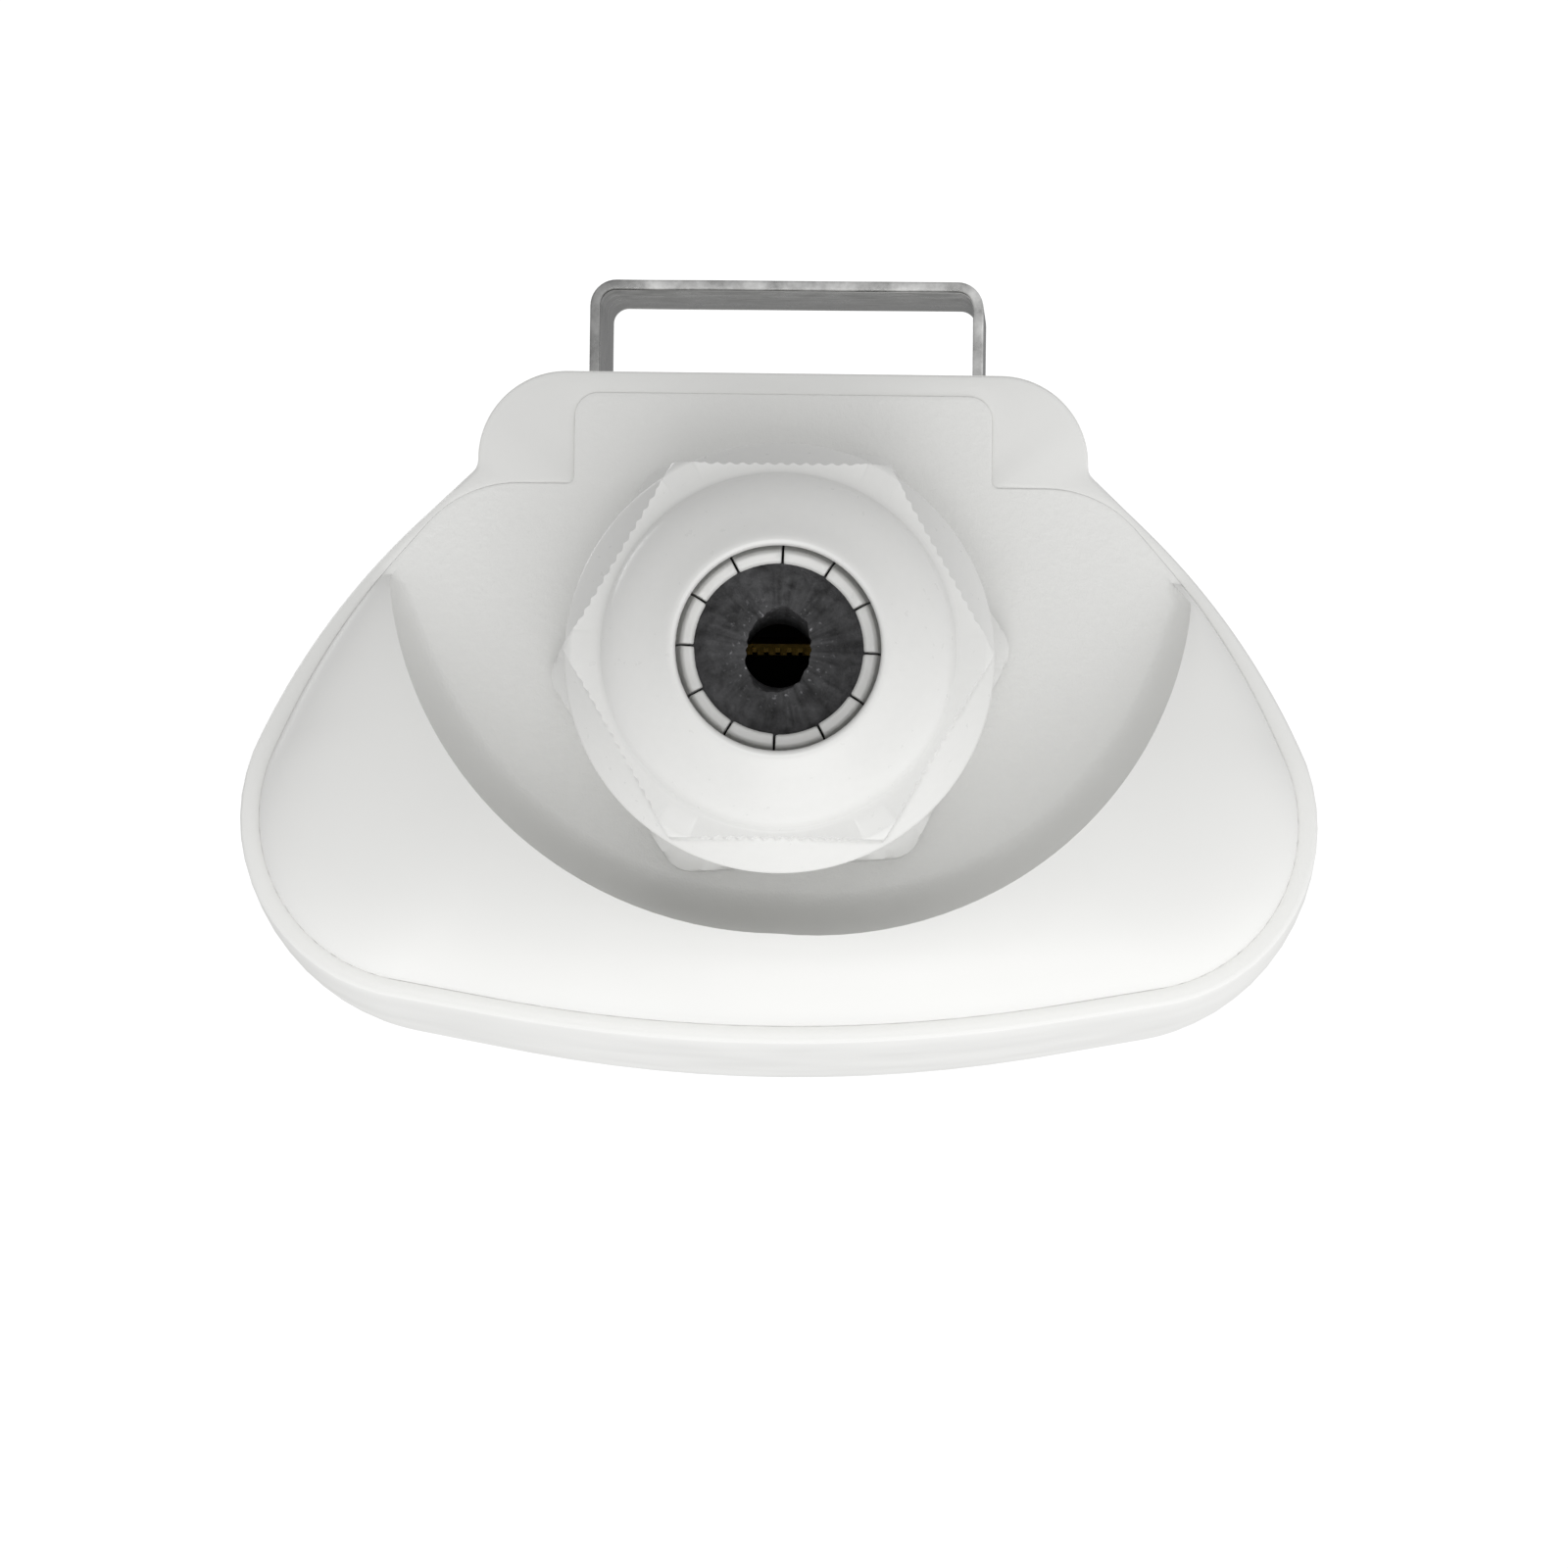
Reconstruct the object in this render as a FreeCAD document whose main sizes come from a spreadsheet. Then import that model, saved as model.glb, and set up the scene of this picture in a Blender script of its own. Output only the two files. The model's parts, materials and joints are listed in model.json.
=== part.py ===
import FreeCAD
import Part
import math
import os

# Outdoor wireless unit: a barrel-shaped plastic sleeve with a pluggable lower end cap, a
# cable gland in the cap, a strap loop on its back and the radio and aerial boards inside.
# Frame: +Z up, the gland points down, the front of the sleeve faces -Y and the outer face
# of the strap loop lies in the plane Y = 0. The origin is the middle of that face.
# All sizes are in millimetres.

V = FreeCAD.Vector
UP = V(0, 0, 1)
REAR = V(0, 1, 0)

doc = FreeCAD.newDocument("outdoor_wireless_unit")
sheet = doc.addObject("Spreadsheet::Sheet", "Sizes")
nodes = []
rows = {}

# Half outline of the end cap, front to rear: x, y and corner radius of each corner.
CAP_HALF = ((49.75, -64.16, 13.7), (37.6, -38.05, 60.0), (26.7, -25.55, 10.0),
            (17.5, -25.55, 0.6), (17.5, -17.9, 2.0))
CAP_FRONT = (0.0, -72.93, 137.0)

# Levels of the sleeve, the cap and the gland.
RIM = -95.0
LEDGE = -90.0
SLEEVE_TOP = 97.0
WALL = 2.2
GLAND_Y = -40.65
RECESS_Y = -30.15
RECESS_R = 33.0
HUMP_FACE = -16.05


def size(name, value):
    """Enter one driving size in the sheet and give its expression."""
    if name not in rows:
        rows[name] = len(rows) + 1
        cell = "B%d" % rows[name]
        sheet.set("A%d" % rows[name], name.replace("_", " "))
        sheet.set(cell, repr(float(value)))
        sheet.setAlias(cell, name)
        sheet.recompute()
    return "Sizes." + name


def bind(item, path, name, value):
    """Tie one property of an object to a size in the sheet."""
    item.setExpression(path, size(name, value))


def keep(item, label):
    """Name an object as a sub-part to be written out."""
    item.Label = label
    nodes.append(item)
    return item


def rounded(corners):
    """Lines and arcs of a closed polygon whose corners (x, y, r) are rounded."""
    total = len(corners)
    joins = []
    for i in range(total):
        x, y, r = corners[i]
        before = V(corners[i - 1][0] - x, corners[i - 1][1] - y, 0)
        after = V(corners[(i + 1) % total][0] - x, corners[(i + 1) % total][1] - y, 0)
        before.normalize()
        after.normalize()
        half = 0.5 * before.getAngle(after)
        tip = V(x, y, 0)
        if r < 1e-6 or abs(half - math.pi / 2) < 1e-6:
            joins.append((tip, None, tip))
            continue
        run = r / math.tan(half)
        middle = before + after
        middle.normalize()
        crown = tip + middle * (r / math.sin(half) - r)
        joins.append((tip + before * run, crown, tip + after * run))
    curves = []
    for i in range(total):
        start, crown, end = joins[i]
        if crown is not None:
            curves.append(Part.Arc(start, crown, end))
        following = joins[(i + 1) % total][0]
        if end.distanceToPoint(following) > 1e-6:
            curves.append(Part.LineSegment(end, following))
    return curves


def mirrored(first, half):
    """Full list of corners of a shape that is symmetric about X = 0."""
    left = [(-x, y, r) for x, y, r in reversed(half)]
    return [first] + list(half) + left


def grown(corners, step):
    """Corners of the same polygon with every side moved out by a step."""
    total = len(corners)
    lines = []
    for i in range(total):
        a = V(corners[i][0], corners[i][1], 0)
        b = V(corners[(i + 1) % total][0], corners[(i + 1) % total][1], 0)
        run = b - a
        run.normalize()
        out = V(run.y, -run.x, 0)
        lines.append((a + out * step, run))
    result = []
    for i in range(total):
        p, u = lines[i - 1]
        q, w = lines[i]
        cross = u.x * w.y - u.y * w.x
        gap = q - p
        along = (gap.x * w.y - gap.y * w.x) / cross
        spot = p + u * along
        convex = 1 if cross > 0 else -1
        radius = max(0.3, corners[i][2] + convex * step)
        result.append((spot.x, spot.y, radius))
    return result


def cap_outline(step=0.0):
    """Outline of the end cap, grown by a step."""
    return grown(mirrored(CAP_FRONT, CAP_HALF), step)


def sleeve_outline(bulge, step=0.0):
    """Outline of the sleeve with its rear hump; bulge is 0 at the rim and 1 half way up."""
    front = (0.0, -74.18 - 4.6 * bulge, 138.0)
    half = ((51.1 + 3.4 * bulge, -65.2 - 4.2 * bulge, 15.0),
            (38.6 + 2.6 * bulge, -37.3, 60.0),
            (25.6, -24.2, 1.2),
            (25.6, HUMP_FACE, 7.4))
    return grown(mirrored(front, half), step)


def new_body(label):
    """Start a solid built from sketches."""
    item = doc.addObject("PartDesign::Body", label)
    return item


def plane_of(body, role):
    """One of the origin planes of a body."""
    for feature in body.Origin.OriginFeatures:
        if feature.Role == role:
            return feature
    raise RuntimeError("no plane " + role)


def sketch(body, name, role, curves, offset_name, offset):
    """Sketch on an origin plane of a body, lifted off it by a size from the sheet."""
    item = doc.addObject("Sketcher::SketchObject", name)
    body.addObject(item)
    item.AttachmentSupport = [(plane_of(body, role), "")]
    item.MapMode = "FlatFace"
    bind(item, ".AttachmentOffset.Base.z", offset_name, offset)
    item.addGeometry(list(curves), False)
    item.recompute()
    return item


def pad(body, profile, name, length, backwards=False):
    """Pad a sketch by a size from the sheet."""
    item = body.newObject("PartDesign::Pad", name)
    item.Profile = profile
    item.Reversed = backwards
    bind(item, "Length", name + "_length", length)
    doc.recompute()
    return item


def pocket(body, profile, name, length, backwards=False):
    """Cut a sketch into the solid; raises an error if nothing is removed."""
    before = body.Shape.Volume
    item = body.newObject("PartDesign::Pocket", name)
    item.Profile = profile
    item.Reversed = backwards
    bind(item, "Length", name + "_length", length)
    doc.recompute()
    if body.Shape.Volume > before - 1e-3:
        raise RuntimeError(name + " removed nothing")
    return item


def turned(body, name, points, cut=False):
    """Revolve or groove a profile of (radius, height) about the body's own Z axis."""
    lines = []
    for i in range(len(points)):
        a = V(points[i][0], points[i][1], 0)
        b = V(points[(i + 1) % len(points)][0], points[(i + 1) % len(points)][1], 0)
        lines.append(Part.LineSegment(a, b))
    profile = sketch(body, name + "_profile", "XZ_Plane", lines, name + "_offset", 0.0)
    kind = "PartDesign::Groove" if cut else "PartDesign::Revolution"
    item = body.newObject(kind, name)
    item.Profile = profile
    item.ReferenceAxis = (profile, ["V_Axis"])
    bind(item, "Angle", name + "_angle", 360.0)
    doc.recompute()
    return item


def around(body, feature, name, count):
    """Repeat a feature round the body's Z axis."""
    item = body.newObject("PartDesign::PolarPattern", name)
    item.Originals = [feature]
    axis = [f for f in body.Origin.OriginFeatures if f.Role == "Z_Axis"][0]
    item.Axis = (axis, [""])
    item.Angle = 360.0
    bind(item, "Occurrences", name + "_count", count)
    body.Tip = item
    doc.recompute()
    return item


def circle(x, y, r):
    """A full circle for a sketch."""
    return Part.Circle(V(x, y, 0), UP, r)


def place(item, x, y, z, axis=UP, degrees=0.0):
    """Put an object at a point, turned about an axis."""
    item.Placement = FreeCAD.Placement(V(x, y, z), FreeCAD.Rotation(axis, degrees))
    return item


def block(name, low, high):
    """Rectangular block between two corners, with its three sizes in the sheet."""
    item = doc.addObject("Part::Box", name)
    bind(item, "Length", name + "_width", high[0] - low[0])
    bind(item, "Width", name + "_depth", high[1] - low[1])
    bind(item, "Height", name + "_height", high[2] - low[2])
    place(item, low[0], low[1], low[2])
    return item


def rod(name, start, radius, length, axis=UP):
    """Round bar from a start point along +Z or along +Y."""
    item = doc.addObject("Part::Cylinder", name)
    bind(item, "Radius", name + "_radius", radius)
    bind(item, "Height", name + "_length", length)
    turn = FreeCAD.Rotation(UP, axis)
    item.Placement = FreeCAD.Placement(V(*start), turn)
    return item


def less(name, base, tools):
    """Base solid with several others cut away."""
    if len(tools) > 1:
        group = doc.addObject("Part::MultiFuse", name + "_tools")
        group.Shapes = tools
    else:
        group = tools[0]
    item = doc.addObject("Part::Cut", name)
    item.Base = base
    item.Tool = group
    return item


def joined(name, items):
    """Several solids fused into one."""
    item = doc.addObject("Part::MultiFuse", name)
    item.Shapes = items
    return item


def washer(name, start, outer, inner, thick, axis=UP):
    """Flat ring."""
    return less(name, rod(name + "_disc", start, outer, thick, axis),
                [rod(name + "_hole", start, inner, thick, axis)])


# ---------------------------------------------------------------- strap loop and its pivot

def make_strap():
    """Bent steel strap loop: outer web, two legs and an inner web with the pivot hole."""
    width = 20.0
    thick = 1.0
    half = 18.85
    deep = 15.65
    body = new_body("strap_bracket")
    outer = [(-half, -deep, 2.5), (half, -deep, 2.5), (half, 0.0, 2.5), (-half, 0.0, 2.5)]
    inner = grown(outer, -thick)
    ring = sketch(body, "strap_ring", "XY_Plane", rounded(outer) + rounded(inner),
                  "strap_low", -width / 2)
    pad(body, ring, "strap_width", width)
    slit = [(-14.2, -deep - 1, 0), (-13.8, -deep - 1, 0), (-13.8, -deep + 2, 0),
            (-14.2, -deep + 2, 0)]
    gap = sketch(body, "strap_gap", "XY_Plane", rounded(slit), "strap_gap_low", -width / 2 - 1)
    pocket(body, gap, "strap_gap_cut", width + 2, True)
    pivot = sketch(body, "strap_pivot", "XZ_Plane", [circle(0, 0, 3.05)],
                   "strap_pivot_at", deep - 2.0)
    pocket(body, pivot, "strap_pivot_cut", 3.0, True)
    place(body, 0, 0, 0, REAR, -2.1)
    return keep(body, "strap_bracket")


def make_pivot():
    """Shoulder bush, washers and screw that hold the loop, and the insert they run into."""
    insert = less("pivot_insert", rod("insert_bar", (0, -22.95, 0), 4.0, 6.9, REAR),
                  [rod("insert_bore", (0, -22.95, 0), 2.5, 6.9, REAR)])
    keep(insert, "pivot_insert")
    keep(washer("pivot_bush", (0, HUMP_FACE, 0), 3.0, 2.5, 1.7, REAR), "pivot_bush")
    keep(washer("pivot_washer", (0, -14.35, 0), 5.6, 2.6, 1.0, REAR), "pivot_washer")
    ring = washer("lock_ring", (0, -13.35, 0), 4.6, 2.6, 1.1, REAR)
    gap = block("lock_ring_gap", (-0.35, -13.5, 2.0), (0.35, -12.0, 5.0))
    keep(less("lock_washer", ring, [gap]), "lock_washer")
    head = doc.addObject("Part::Prism", "pivot_head")
    head.Polygon = 6
    bind(head, "Circumradius", "pivot_head_reach", 4.62)
    bind(head, "Height", "pivot_head_thick", 3.0)
    head.Placement = FreeCAD.Placement(V(0, -12.25, 0), FreeCAD.Rotation(UP, REAR))
    shank = rod("pivot_shank", (0, -22.5, 0), 2.5, 10.3, REAR)
    keep(joined("pivot_screw", [head, shank]), "pivot_screw")


# ---------------------------------------------------------------------------------- sleeve

def make_sleeve():
    """Blind barrel-shaped sleeve with a rear hump, a stepped mouth and inner pillars."""
    body = new_body("sleeve_housing")
    levels = ((RIM, 0.0), (-50.0, 0.72), (0.0, 1.0), (50.0, 0.74), (90.0, 0.1))
    skins = []
    for i, (level, bulge) in enumerate(levels):
        curves = rounded(sleeve_outline(bulge))
        skins.append(sketch(body, "sleeve_skin_%d" % i, "XY_Plane", curves,
                            "sleeve_level_%d" % i, level))
    outer = body.newObject("PartDesign::AdditiveLoft", "sleeve_outer")
    outer.Profile = skins[0]
    outer.Sections = skins[1:]
    doc.recompute()
    crown_sleeve(body)
    holes = []
    inside = ((LEDGE, 0.08), (-50.0, 0.72), (0.0, 1.0), (50.0, 0.74), (SLEEVE_TOP - 5.0, 0.05))
    for i, (level, bulge) in enumerate(inside):
        curves = rounded(sleeve_outline(bulge, -WALL))
        holes.append(sketch(body, "sleeve_hollow_%d" % i, "XY_Plane", curves,
                            "hollow_level_%d" % i, level))
    inner = body.newObject("PartDesign::SubtractiveLoft", "sleeve_inner")
    inner.Profile = holes[0]
    inner.Sections = holes[1:]
    doc.recompute()
    mouth = sketch(body, "sleeve_mouth", "XY_Plane", rounded(cap_outline(0.15)),
                   "mouth_level", RIM)
    pocket(body, mouth, "sleeve_mouth_cut", LEDGE - RIM, True)
    bosses = [circle(0, 0, 8.0), circle(0, 62.0, 3.5), circle(0, -52.0, 3.5)]
    roots = sketch(body, "sleeve_bosses", "XZ_Plane", bosses[:1], "boss_root", 17.5)
    pad(body, roots, "sleeve_boss", 5.45)
    pillars = sketch(body, "sleeve_pillars", "XZ_Plane", bosses[1:], "pillar_root", 17.5)
    pad(body, pillars, "sleeve_pillar", 11.45)
    bore = sketch(body, "insert_seat", "XZ_Plane", [circle(0, 0, 4.0)], "insert_seat_at", 16.0)
    pocket(body, bore, "insert_seat_cut", 7.0, backwards=True)
    pins = [circle(0, 62.0, 1.25), circle(0, -52.0, 1.25)]
    pilots = sketch(body, "pillar_pilots", "XZ_Plane", pins, "pilot_at", 20.0)
    pocket(body, pilots, "pillar_pilot_cut", 9.0, backwards=True)
    return keep(body, "sleeve_housing")


def crown_sleeve(body):
    """Draw the closed upper end of the sleeve in to a softly rounded crown."""
    steps = ((90.0, 0.0), (92.8, -0.6), (95.2, -2.2), (SLEEVE_TOP, -5.0))
    skins = []
    for i, (level, step) in enumerate(steps):
        curves = rounded(sleeve_outline(0.1, step))
        skins.append(sketch(body, "crown_skin_%d" % i, "XY_Plane", curves,
                            "crown_level_%d" % i, level))
    crown = body.newObject("PartDesign::AdditiveLoft", "sleeve_crown")
    crown.Profile = skins[0]
    crown.Sections = skins[1:]
    crown.Ruled = True
    doc.recompute()


# --------------------------------------------------------------------------------- end cap

def ray_to_rim(angle):
    """Distance from the recess axis to the cap's outline, at an angle from the front."""
    wire = Part.Wire([c.toShape() for c in rounded(cap_outline(-0.2))])
    start = V(0, RECESS_Y, 0)
    far = start + V(math.sin(angle), -math.cos(angle), 0) * 90.0
    line = Part.LineSegment(start, far).toShape()
    spots = line.distToShape(wire)[1]
    return start.distanceToPoint(spots[0][1])


def bumper_section(angle, rise):
    """Closed radial section of the front bumper: scooped inside, rounded outside."""
    rim = ray_to_rim(angle)
    lip = min(RECESS_R, rim - 0.5)
    foot = lip - 3.3
    thick = rim - lip
    spots = ((lip, 1.0), (lip + 0.3 * thick, 0.97), (lip + 0.65 * thick, 0.78),
             (lip + 0.9 * thick, 0.42), (rim, 0.0))
    scoop = ((foot, 0.0), (foot + 0.3 * (lip - foot), 0.12),
             (foot + 0.65 * (lip - foot), 0.56), (lip, 1.0))

    def point(distance, height):
        x = distance * math.sin(angle)
        y = RECESS_Y - distance * math.cos(angle)
        return V(x, y, RIM - height)

    inner = Part.BSplineCurve()
    inner.interpolate([point(d, k * rise) for d, k in scoop])
    outer = Part.BSplineCurve()
    outer.interpolate([point(d, k * rise) for d, k in spots])
    low_rim = point(rim, -1.0)
    low_foot = point(foot, -1.0)
    edges = [inner.toShape(), outer.toShape(),
             Part.LineSegment(point(rim, 0), low_rim).toShape(),
             Part.LineSegment(low_rim, low_foot).toShape(),
             Part.LineSegment(low_foot, point(foot, 0)).toShape()]
    return Part.Wire(edges)


def make_bumper():
    """Crescent bumper that stands below the rim round the front of the gland recess."""
    tip = 83.0
    steps = 14
    sections = []
    for i in range(steps + 1):
        degrees = -tip + 2 * tip * i / steps
        rise = 0.4 + 10.6 * math.cos(math.radians(degrees * 90.0 / 84.0)) ** 0.6
        sections.append(bumper_section(math.radians(degrees), rise))
    item = doc.addObject("Part::Feature", "cap_bumper")
    item.Shape = Part.makeLoft(sections, True, False)
    return item


def make_cap():
    """End cap: flange with tongue, inner skirt, gland boss and front bumper."""
    body = new_body("cap_plate")
    face = sketch(body, "cap_flange", "XY_Plane", rounded(cap_outline(-0.15)),
                  "cap_level", RIM)
    pad(body, face, "cap_flange_thick", 3.2)
    skirt = rounded(skirt_outline(0.0)) + rounded(skirt_outline(-2.0))
    ring = sketch(body, "cap_skirt", "XY_Plane", skirt, "skirt_level", RIM + 3.0)
    pad(body, ring, "cap_skirt_tall", 11.5)
    boss = sketch(body, "cap_boss", "XY_Plane", [circle(0, GLAND_Y, 17.5)],
                  "boss_level", RIM + 3.0)
    pad(body, boss, "cap_boss_tall", 3.0)
    hole = sketch(body, "cap_hole", "XY_Plane", [circle(0, GLAND_Y, 12.6)],
                  "hole_level", RIM - 1.0)
    pocket(body, hole, "cap_hole_cut", 9.0, True)
    bumper = make_bumper()
    return keep(joined("end_cap", [body, bumper]), "end_cap")


def skirt_outline(step):
    """Outline of the skirt that plugs into the sleeve; it follows the tongue."""
    return cap_outline(step - 2.6)


def make_gasket():
    """Flat foam ring between the cap's flange and the ledge in the sleeve."""
    body = new_body("end_cap_gasket")
    curves = rounded(cap_outline(-0.7)) + rounded(skirt_outline(0.0))
    ring = sketch(body, "gasket_ring", "XY_Plane", curves, "gasket_level", RIM + 3.2)
    pad(body, ring, "gasket_thick", 1.5)
    return keep(body, "end_cap_gasket")


# ----------------------------------------------------------------------------- cable gland

def hexagon(across, degrees=0.0, radius=0.8):
    """Corners of a hexagon with a flat facing +Y, turned by an angle."""
    corners = []
    reach = across / math.sqrt(3.0)
    for i in range(6):
        angle = math.radians(60.0 * i + degrees)
        corners.append((reach * math.cos(angle), reach * math.sin(angle), radius))
    return corners


def make_gland_body():
    """Threaded gland body with its hexagon, clamped in the hole of the cap."""
    body = new_body("gland_body")
    block_of_six = sketch(body, "gland_six", "XY_Plane", rounded(hexagon(33.6, -4.4, 2.2)),
                          "gland_six_level", -7.5)
    pad(body, block_of_six, "gland_six_thick", 7.5)
    turned(body, "gland_neck", ((8.3, -21.0), (12.7, -21.0), (13.2, -20.5), (13.2, -7.0),
                                (8.3, -7.0)))
    turned(body, "gland_stem", ((8.3, -1.0), (12.5, -1.0), (12.5, 11.6), (12.1, 12.0),
                                (8.3, 12.0)))
    turned(body, "gland_way", ((0.0, -8.0), (8.3, -8.0), (8.3, 1.0), (0.0, 1.0)), True)
    turned(body, "gland_seat", ((0.0, -22.0), (11.0, -22.0), (11.0, -14.0), (0.0, -14.0)), True)
    turned(body, "gland_groove", ((13.6, 0.5), (15.4, 0.5), (15.4, -1.6), (13.6, -1.6)), True)
    place(body, 0, GLAND_Y, RIM)
    return keep(body, "gland_body")


def make_claw():
    """Ring of clamping fingers, bent in over the seal by the nut."""
    body = new_body("gland_claw")
    turned(body, "claw_wall", ((9.7, -14.0), (11.0, -14.0), (11.0, -20.5), (10.6, -21.6),
                               (8.0, -29.4), (6.9, -29.4), (9.3, -21.6), (9.7, -20.0)))
    slit = [(5.0, -0.25, 0), (12.0, -0.25, 0), (12.0, 0.25, 0), (5.0, 0.25, 0)]
    cut = sketch(body, "claw_slit", "XY_Plane", rounded(slit), "claw_slit_level", -30.5)
    item = pocket(body, cut, "claw_slit_cut", 9.5, True)
    around(body, item, "claw_slits", 12)
    place(body, 0, GLAND_Y, RIM, UP, 2.0)
    return keep(body, "gland_claw")


def make_seal():
    """Rubber seal squeezed by the fingers round the cable."""
    body = new_body("gland_seal")
    turned(body, "seal_wall", ((2.8, -14.0), (9.6, -14.0), (9.6, -20.0), (9.2, -21.6),
                               (6.8, -28.6), (2.8, -28.6)))
    place(body, 0, GLAND_Y, RIM)
    return keep(body, "gland_seal")


def make_nut():
    """Domed gland nut with a flange, six ribbed flats and an inner cone."""
    body = new_body("gland_nut")
    six = sketch(body, "nut_six", "XY_Plane", rounded(hexagon(30.0, 0.0, 0.5)),
                 "nut_six_level", -28.3)
    pad(body, six, "nut_six_tall", 11.6)
    turned(body, "nut_foot", ((0.0, -14.0), (17.3, -14.0), (17.6, -14.4), (17.6, -15.0),
                              (14.8, -18.8), (0.0, -18.8)))
    turned(body, "nut_dome", ((0.0, -28.0), (14.3, -28.0), (14.1, -29.6), (13.0, -31.3),
                              (11.6, -32.5), (9.6, -33.3), (8.4, -33.6), (0.0, -33.6)))
    outside = ((16.1, -28.9), (18.2, -27.0), (19.0, -27.0), (19.0, -29.5), (14.6, -29.5),
               (14.6, -28.3))
    turned(body, "nut_edge", outside, True)
    turned(body, "nut_bore", ((0.0, -13.0), (15.4, -13.0), (15.4, -17.0), (13.6, -17.4),
                              (13.6, -22.0), (11.6, -23.4), (8.8, -31.2), (8.16, -31.9),
                              (8.16, -34.5), (0.0, -34.5)), True)
    teeth = []
    for i in range(13):
        x = (i - 6) * 0.95
        teeth += rounded([(x - 0.3, 15.2, 0), (x, 14.72, 0), (x + 0.3, 15.2, 0)])
    ribs = sketch(body, "nut_ribs", "XY_Plane", teeth, "nut_ribs_level", -28.4)
    item = pocket(body, ribs, "nut_rib_cut", 9.8, True)
    around(body, item, "nut_rib_sets", 6)
    place(body, 0, GLAND_Y, RIM)
    return keep(body, "gland_nut")


def make_gland_rings():
    """Slip ring under the nut, O-ring under the hexagon and the lock nut in the cap."""
    axis_at = (0, GLAND_Y, RIM - 16.6)
    keep(washer("slip_ring", axis_at, 15.0, 13.55, 2.2), "slip_ring")
    ring = doc.addObject("Part::Torus", "gland_o_ring")
    bind(ring, "Radius1", "o_ring_middle_radius", 14.5)
    bind(ring, "Radius2", "o_ring_cord_radius", 0.75)
    place(ring, 0, GLAND_Y, RIM - 0.75)
    keep(ring, "gland_o_ring")
    body = new_body("gland_lock_nut")
    curves = rounded(hexagon(31.0, 0.0, 0.8)) + [circle(0, 0, 12.5)]
    six = sketch(body, "lock_nut_six", "XY_Plane", curves, "lock_nut_level", 6.0)
    pad(body, six, "lock_nut_thick", 4.5)
    place(body, 0, GLAND_Y, RIM)
    keep(body, "gland_lock_nut")


# ------------------------------------------------------------------- carrier and the boards

BOARD_FRONT = -33.95
BOARD_BACK = -32.35


def make_carrier():
    """Plastic tray screwed to the sleeve's pillars, with four bosses for the board."""
    tray = block("carrier_tray", (-26.0, -30.45, -64.0), (26.0, -28.95, 72.0))
    parts = [tray]
    holes = []
    for i, (x, z) in enumerate(((-24.0, -58.0), (24.0, -58.0), (-24.0, 66.0), (24.0, 66.0))):
        start = (x, BOARD_BACK, z)
        parts.append(rod("carrier_boss_%d" % i, start, 2.6, 2.5, REAR))
        holes.append(rod("carrier_pilot_%d" % i, start, 1.25, 4.0, REAR))
    for i, z in enumerate((62.0, -52.0)):
        holes.append(rod("carrier_hole_%d" % i, (0, -31.0, z), 1.7, 3.0, REAR))
    holes.append(block("carrier_window_low", (-17.0, -31.0, -44.0), (17.0, -28.0, -8.0)))
    holes.append(block("carrier_window_high", (-17.0, -31.0, 10.0), (17.0, -28.0, 48.0)))
    whole = joined("carrier_blank", parts)
    keep(less("board_carrier", whole, holes), "board_carrier")
    for name, z in (("carrier_screw_high", 62.0), ("carrier_screw_low", -52.0)):
        head = rod(name + "_head", (0, -31.75, z), 2.6, 1.3, REAR)
        shank = rod(name + "_shank", (0, -30.6, z), 1.25, 8.0, REAR)
        keep(joined(name, [head, shank]), name)


def make_board():
    """Radio board with its four screws."""
    board = block("board_plate", (-28.0, BOARD_FRONT, -62.0), (28.0, BOARD_BACK, 70.0))
    holes = []
    spots = (("low_right", -24.0, -58.0), ("low_left", 24.0, -58.0),
             ("high_right", -24.0, 66.0), ("high_left", 24.0, 66.0))
    for name, x, z in spots:
        holes.append(rod("board_hole_" + name, (x, -34.5, z), 1.6, 3.0, REAR))
    keep(less("radio_board", board, holes), "radio_board")
    for name, x, z in spots:
        head = rod("board_head_" + name, (x, BOARD_FRONT - 1.6, z), 2.6, 1.6, REAR)
        shank = rod("board_shank_" + name, (x, BOARD_FRONT - 0.1, z), 1.25, 5.5, REAR)
        keep(joined("board_screw_" + name, [head, shank]), "board_screw_" + name)


def make_jack():
    """Network socket that opens downwards over the gland, with its shield and contacts."""
    front = -47.2
    solid = block("jack_solid", (-7.7, front, -61.0), (7.7, BOARD_FRONT, -40.0))
    cavity = block("jack_cavity", (-5.95, front + 2.4, -62.0), (5.95, front + 10.6, -47.0))
    notch = block("jack_notch", (-3.0, front + 0.9, -62.0), (3.0, front + 2.4, -52.0))
    keep(less("network_jack", solid, [cavity, notch]), "network_jack")
    shell = block("shield_solid", (-8.0, front - 0.3, -61.2), (8.0, BOARD_FRONT, -39.7))
    inside = block("shield_inside", (-7.7, front, -62.0), (7.7, BOARD_FRONT + 1.0, -40.0))
    keep(less("jack_shield", shell, [inside]), "jack_shield")
    bars = [block("contact_bar", (-4.2, front + 9.6, -47.6), (4.2, front + 10.6, -47.0))]
    for i in range(8):
        x = -3.57 + 1.02 * i
        bars.append(block("contact_pin_%d" % i, (x - 0.2, front + 9.4, -57.5),
                          (x + 0.2, front + 9.8, -47.0)))
    keep(joined("jack_contacts", bars), "jack_contacts")


def on_board(name, x, z, wide, tall, deep):
    """Component that stands on the front of the radio board."""
    low = (x - wide / 2, BOARD_FRONT - deep, z - tall / 2)
    high = (x + wide / 2, BOARD_FRONT, z + tall / 2)
    return block(name, low, high)


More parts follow.
